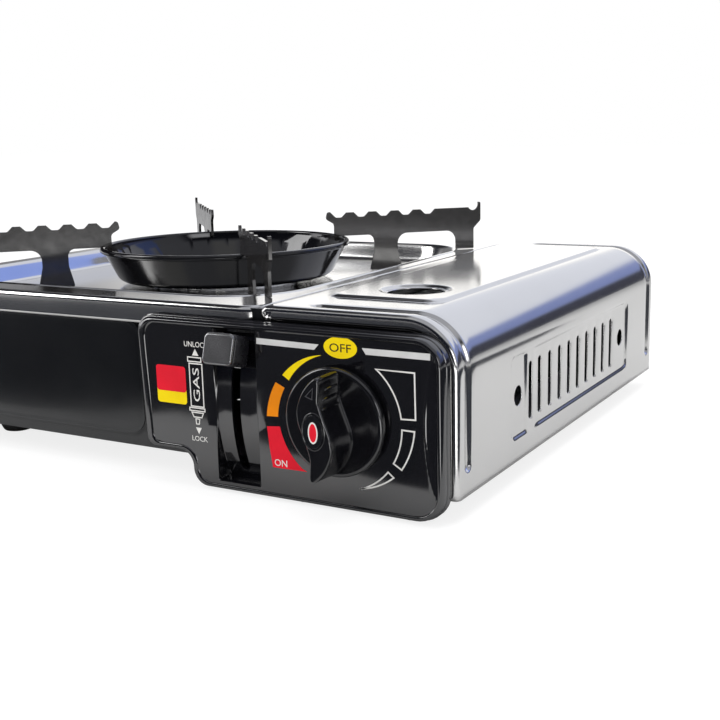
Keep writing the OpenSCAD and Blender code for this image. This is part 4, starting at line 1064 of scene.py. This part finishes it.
def lettering(text, cx, cz, height, width, upright=False):
    """Triangles of a word, fitted around (cx, cz)."""
    curve = bpy.data.curves.new("word", "FONT")
    curve.body = text
    curve.resolution_u = 3
    holder = linked("word", curve)
    bpy.context.view_layer.update()
    mesh = bpy.data.meshes.new_from_object(holder)
    co = np.array([v.co[:2] for v in mesh.vertices])
    low, high = co.min(0), co.max(0)
    co = (co - (low + high) / 2) / (high - low)
    if upright:
        co = np.stack([-co[:, 1] * height + cx, co[:, 0] * width + cz], axis=1)
    else:
        co = np.stack([co[:, 0] * width + cx, co[:, 1] * height + cz], axis=1)
    shapes = [[tuple(co[i]) for i in p.vertices] for p in mesh.polygons]
    bpy.data.objects.remove(holder)
    bpy.data.curves.remove(curve)
    bpy.data.meshes.remove(mesh)
    return shapes


def printed(
    name, look, shapes, level=0.02, thickness=0.05, depth=panel_face, body="case", slot="panel"
):
    """Thin printed shapes, level above the face whose Y depth(x, z) gives, from outlines in X and Z."""
    points, faces = [], []
    for shape in shapes:
        base = len(points)
        points += [(x, float(depth(x, z)) - level, z) for x, z in shape]
        flat = [Vector((x, z, 0)) for x, z in shape]
        for tri in tessellate_polygon([flat]):
            a, b, c = (flat[i] for i in tri)
            clockwise = (b - a).cross(c - a).z < 0
            order = tri[::-1] if clockwise else tri
            faces.append(tuple(base + i for i in order))
    obj = new_piece(name, points, faces, smooth=False)
    thicken(obj, thickness, 1)
    dress(obj, look)
    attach(obj, body)


def emblem_face(x, z):
    return KNOB_FRONT + 0.1


def blade_face(x, z):
    return BLADE_FRONT


def around_knob(points):
    """Outline points given from the knob's axis."""
    return [(KNOB[0] + x, KNOB[1] + z) for x, z in points]


def print_panel():
    yellow = [sector(105, 147.6, (27.8, 27.8), (27.9, 31.6)), ellipse(122.7, 70.5, 7.9, 4.5)]
    orange = [sector(156, 183, (28.2, 29.7), (33.1, 35.5), 8)]
    red = [
        [polar(191.3 + 4 * i, 29.5) for i in range(11)]
        + around_knob([(-15.9, -24.2), (-33.3, -24.4), (-34.7, -15.5), (-35.6, -6.4)])
    ]
    box = [polar(52.9 - 4.6 * i, 29.5) for i in range(11)]
    box += around_knob([(36.3, 3.9), (36.1, 23.6)])
    white = outline(box, 0.65)
    white += outline(sector(-0.5, -31, (29.5, 29.5), (35.8, 34.4), 8), 0.65)
    white += outline(sector(-38.8, -71, (29.6, 29.5), (33.6, 29.8), 10), 0.65)
    # The cartridge sign with its arrows
    can, cap, collar = (44.2, 37.8, 51.8, 57.8), (43.6, 58.2, 51.4, 60.6), (43.3, 35.8, 52.2, 37.6)
    for (x0, z0, x1, z1), width in ((can, 0.55), (cap, 0.5), (collar, 0.5)):
        white += outline([(x0, z1), (x1, z1), (x1, z0), (x0, z0)], width)
    white += outline([(44.2, 35.5), (51.4, 35.5), (50.2, 32.9), (45.5, 32.9)], 0.5)
    white += outline([(46.4, 32.6), (49.1, 32.6), (48.6, 29.8), (46.6, 29.8)], 0.45)
    white += [[(48.2, 64.2), (46.4, 61.2), (50, 61.2)], [(46.4, 28.4), (49.6, 28.4), (48, 25.4)]]
    white += lettering("GAS", 47.9, 48.0, 3.5, 15.2, upright=True)
    white += lettering("UNLOCK", 48.8, 66.2, 2.4, 13.0)
    white += lettering("LOCK", 48.4, 23.3, 2.3, 8.6)
    silver = [
        [(81.4, 71.6), (112.4, 71.1), (110.2, 68.7), (81.3, 69.0)],
        [(132.8, 71.2), (163.4, 71.3), (163.3, 68.6), (134.6, 68.6)],
    ]
    # A plain two-coloured sticker
    yellow += [rounded((25.6, 38.3, 42.2, 46), 1.4)]
    inked = {"yellow": yellow, "orange": orange, "red": red, "white": white, "silver": silver}
    for ink, shapes in inked.items():
        printed(f"print_{ink}", f"print_{ink}", shapes)
    printed("print_off", "print_black", lettering("OFF", 122.7, 70.4, 3.5, 10.2), level=0.08)
    printed("print_on", "print_white", lettering("ON", 91.5, 17.7, 3.0, 6.4), level=0.08)
    printed("sticker_red", "print_red", [rounded((25.6, 43.8, 42.2, 55.6), 1.4)], level=0.08)
    emblem = (emblem_face, "knob", "emblem")
    cx, cz = KNOB[0], KNOB[1] - 0.4
    printed("emblem_ring", "print_white", [ellipse(cx, cz, 2.3, 4.5)], 0.02, 0.03, *emblem)
    printed("emblem_dot", "print_red", [ellipse(cx, cz, 1.7, 3.8)], 0.06, 0.03, *emblem)
    mark = outline(around_knob([(-3.4, 14.2), (0.6, 18.2), (0.2, 13)]), 0.4)
    printed("knob_mark", "mark_grey", mark, 0.01, 0.04, blade_face, "knob", "panel")


print_panel()


# ---- floor, light and camera ----


# The floor's own light, and how much of it shows in what the camera sees
FLOOR_GLOW = 1.33
FLOOR_GLOW_SHARE = 0.62


def build_floor():
    mesh = bpy.data.meshes.new("floor")
    r = 6.0
    mesh.from_pydata([(-r, -r, 0), (r, -r, 0), (r, r, 0), (-r, r, 0)], [], [(0, 1, 2, 3)])
    floor = linked("floor", mesh)
    look = Look("floor_white", Roughness=0.9, Base_Color=(0.56, 0.56, 0.56))
    glow = look.add("ShaderNodeEmission", {"Color": (1, 1, 1), "Strength": FLOOR_GLOW})
    path = look.add("ShaderNodeLightPath")
    factors = {0: path.outputs["Is Camera Ray"], 1: FLOOR_GLOW_SHARE}
    part = look.add("ShaderNodeMath", factors, operation="MULTIPLY")
    mix = look.add("ShaderNodeMixShader")
    look.put(mix.inputs[0], part.outputs[0])
    look.put(mix.inputs[1], look.shader.outputs[0])
    look.put(mix.inputs[2], glow.outputs[0])
    look.put(look.tree.nodes["Material Output"].inputs["Surface"], mix.outputs[0])
    floor.data.materials.append(look.mat)


build_floor()


def flag(name, corners, colour, glow=0.0):
    """A card just over the floor that only reflections show, as a photographer's flag."""
    mesh = bpy.data.meshes.new(name)
    places = [place(x, y, FLAG_Z) for x, y in corners]
    mesh.from_pydata(places, [], [tuple(range(len(corners)))])
    card = linked(name, mesh)
    mat = bpy.data.materials.new(name)
    mat.use_nodes = True
    values = mat.node_tree.nodes["Principled BSDF"].inputs
    values["Base Color"].default_value = (*colour, 1)
    values["Roughness"].default_value = 0.9
    values["Emission Color"].default_value = (1, 1, 1, 1)
    values["Emission Strength"].default_value = glow
    mesh.materials.append(mat)
    for rays in ("camera", "diffuse", "shadow", "transmission", "volume_scatter"):
        setattr(card, f"visible_{rays}", False)


# Outlines around the case's middle: dark before the front and at the right, bright between them
FLAG_Z = 0.6
FLAG_BLACK = (0.010, 0.012, 0.018)
FLAG_EDGE = [
    (-900, -203), (-140, -204), (-90, -215), (-50, -250), (-5, -238), (48, -209), (118, -188),
    (160, -184), (192, -210), (270, -432), (440, -1002), (440, -1800), (-900, -1800),
]
RIGHT_EDGE = [
    (232, -140), (250, -185), (343, -240), (459, -300), (900, -540), (900, 500),
    (335, 420), (305, 300), (312, 120), (312, 0), (262, -90),
]
CARD_EDGE = [
    (195, -206), (250, -203), (343, -258), (459, -320),
    (700, -470), (900, -700), (445, -1000), (273, -430),
]
flag("front_flag", FLAG_EDGE, FLAG_BLACK)
flag("right_flag", RIGHT_EDGE, FLAG_BLACK)
flag("bounce_card", CARD_EDGE, (0.8, 0.8, 0.8), 2.2)


def build_world():
    """White to the camera, pale grey to diffuse rays, and a studio of patches to reflections."""
    world = bpy.data.worlds.new("studio")
    bpy.context.scene.world = world
    world.use_nodes = True
    world.node_tree.nodes.clear()
    sky = Nodes(world.node_tree)
    add = sky.add

    def calc(kind, a, b=0.0):
        return add("ShaderNodeMath", {0: a, 1: b}, operation=kind).outputs[0]

    direction = add("ShaderNodeTexCoord").outputs["Generated"]
    split = add("ShaderNodeSeparateXYZ", {0: direction})
    x, y, z = (split.outputs[i] for i in range(3))
    azimuth = calc("MULTIPLY", calc("ARCTAN2", x, y), 180 / math.pi)
    height = calc("MULTIPLY", calc("ARCSINE", z), 180 / math.pi)

    def window(value, low, high, soft):
        """1 between low and high degrees, with soft edges."""
        up = {"Value": value, "From Min": low - soft, "From Max": low + soft}
        down = {"Value": value, "From Min": high - soft, "From Max": high + soft}
        down.update({"To Min": 1.0, "To Max": 0.0})
        rise, fall = (
            add("ShaderNodeMapRange", values, interpolation_type="SMOOTHSTEP") for values in (up, down)
        )
        return calc("MULTIPLY", rise.outputs[0], fall.outputs[0])

    around = calc("ABSOLUTE", azimuth)

    def patch(below, colour, angle, az, el, soft_az, soft_el):
        inside = calc("MULTIPLY", window(angle, *az, soft_az), window(height, *el, soft_el))
        return sky.mix(inside, below, colour)

    # Colour, angle, its span, the height's span, and the softness of both; later ones lie on top
    patches = [
        ((0.90, 0.93, 1.03), azimuth, (-60, 50), (12, 60), 8, 4),
        ((1.38, 1.36, 1.33), azimuth, (-46, 2), (-8, 13), 5, 3),
        ((0.25, 0.25, 0.26), azimuth, (-110, -41), (-12, 22), 7, 6),
        ((0.03, 0.03, 0.035), azimuth, (-128, -37), (22, 64), 6, 6),
        ((0.27, 0.33, 0.64), azimuth, (4, 75), (8, 16.5), 5, 1.5),
        ((0.06, 0.062, 0.085), azimuth, (4, 75), (-12, 8.5), 5, 1.5),
        ((0.33, 0.46, 1.05), azimuth, (36, 62), (17, 36), 3, 2),
        ((0.010, 0.012, 0.020), around, (98, 200), (-30, 38), 8, 6),
        ((0.65, 0.65, 0.64), around, (125, 158), (45, 60), 6, 4),
        ((3.2, 3.2, 3.3), azimuth, (106, 128), (4, 26), 4, 3),
        ((2.4, 2.4, 2.45), azimuth, (-120, -92), (0, 16), 4, 3),
    ]
    seen = (0.45, 0.46, 0.50)
    for values in patches:
        seen = patch(seen, *values)
    path = add("ShaderNodeLightPath").outputs
    tint = sky.mix(path["Is Glossy Ray"], (0.85, 0.85, 0.86), seen)
    white = sky.mix(path["Is Camera Ray"], tint, (1, 1, 1))
    back = add("ShaderNodeBackground", {"Color": white, "Strength": 1.0})
    add("ShaderNodeOutputWorld", {0: back.outputs[0]})


build_world()


def softbox(name, at, toward, size, power, mirrored=True):
    data = bpy.data.lights.new(name, "AREA")
    data.shape = "RECTANGLE"
    data.size, data.size_y = size
    data.energy = power
    lamp = linked(name, data)
    lamp.location = at
    lamp.visible_glossy = mirrored
    lamp.rotation_euler = (Vector(toward) - Vector(at)).to_track_quat("-Z", "Y").to_euler()


softbox("key_top", (0.2, 0.1, 1.3), (0, 0, 0), (1.0, 0.8), 14, mirrored=False)
softbox("fill_left", (-1.0, -0.7, 0.7), (0, 0, 0.05), (0.5, 0.7), 6)


# The photo's camera, fitted to the object's edges: metres, degrees, millimetres of lens
CAMERA_AT = (0.3534, -0.51445, 0.1589)
CAMERA_YAW, CAMERA_PITCH, CAMERA_ROLL = 30.10, 11.85, -1.42
CAMERA_LENS = 56.11


def build_camera():
    yaw, pitch, roll = (math.radians(a) for a in (CAMERA_YAW, CAMERA_PITCH, CAMERA_ROLL))
    level = math.cos(pitch)
    forward = Vector((-math.sin(yaw) * level, math.cos(yaw) * level, -math.sin(pitch)))
    flat = Vector((math.cos(yaw), math.sin(yaw), 0))
    steep = flat.cross(forward)
    right = flat * math.cos(roll) + steep * math.sin(roll)
    up = steep * math.cos(roll) - flat * math.sin(roll)
    data = bpy.data.cameras.new("camera")
    data.lens = CAMERA_LENS
    data.sensor_width = 36
    data.clip_start = 0.01
    camera = linked("camera", data)
    turn = Matrix((right, up, -forward)).transposed().to_4x4()
    camera.matrix_world = Matrix.Translation(CAMERA_AT) @ turn
    bpy.context.scene.camera = camera


build_camera()

bpy.context.scene.view_settings.view_transform = "Standard"
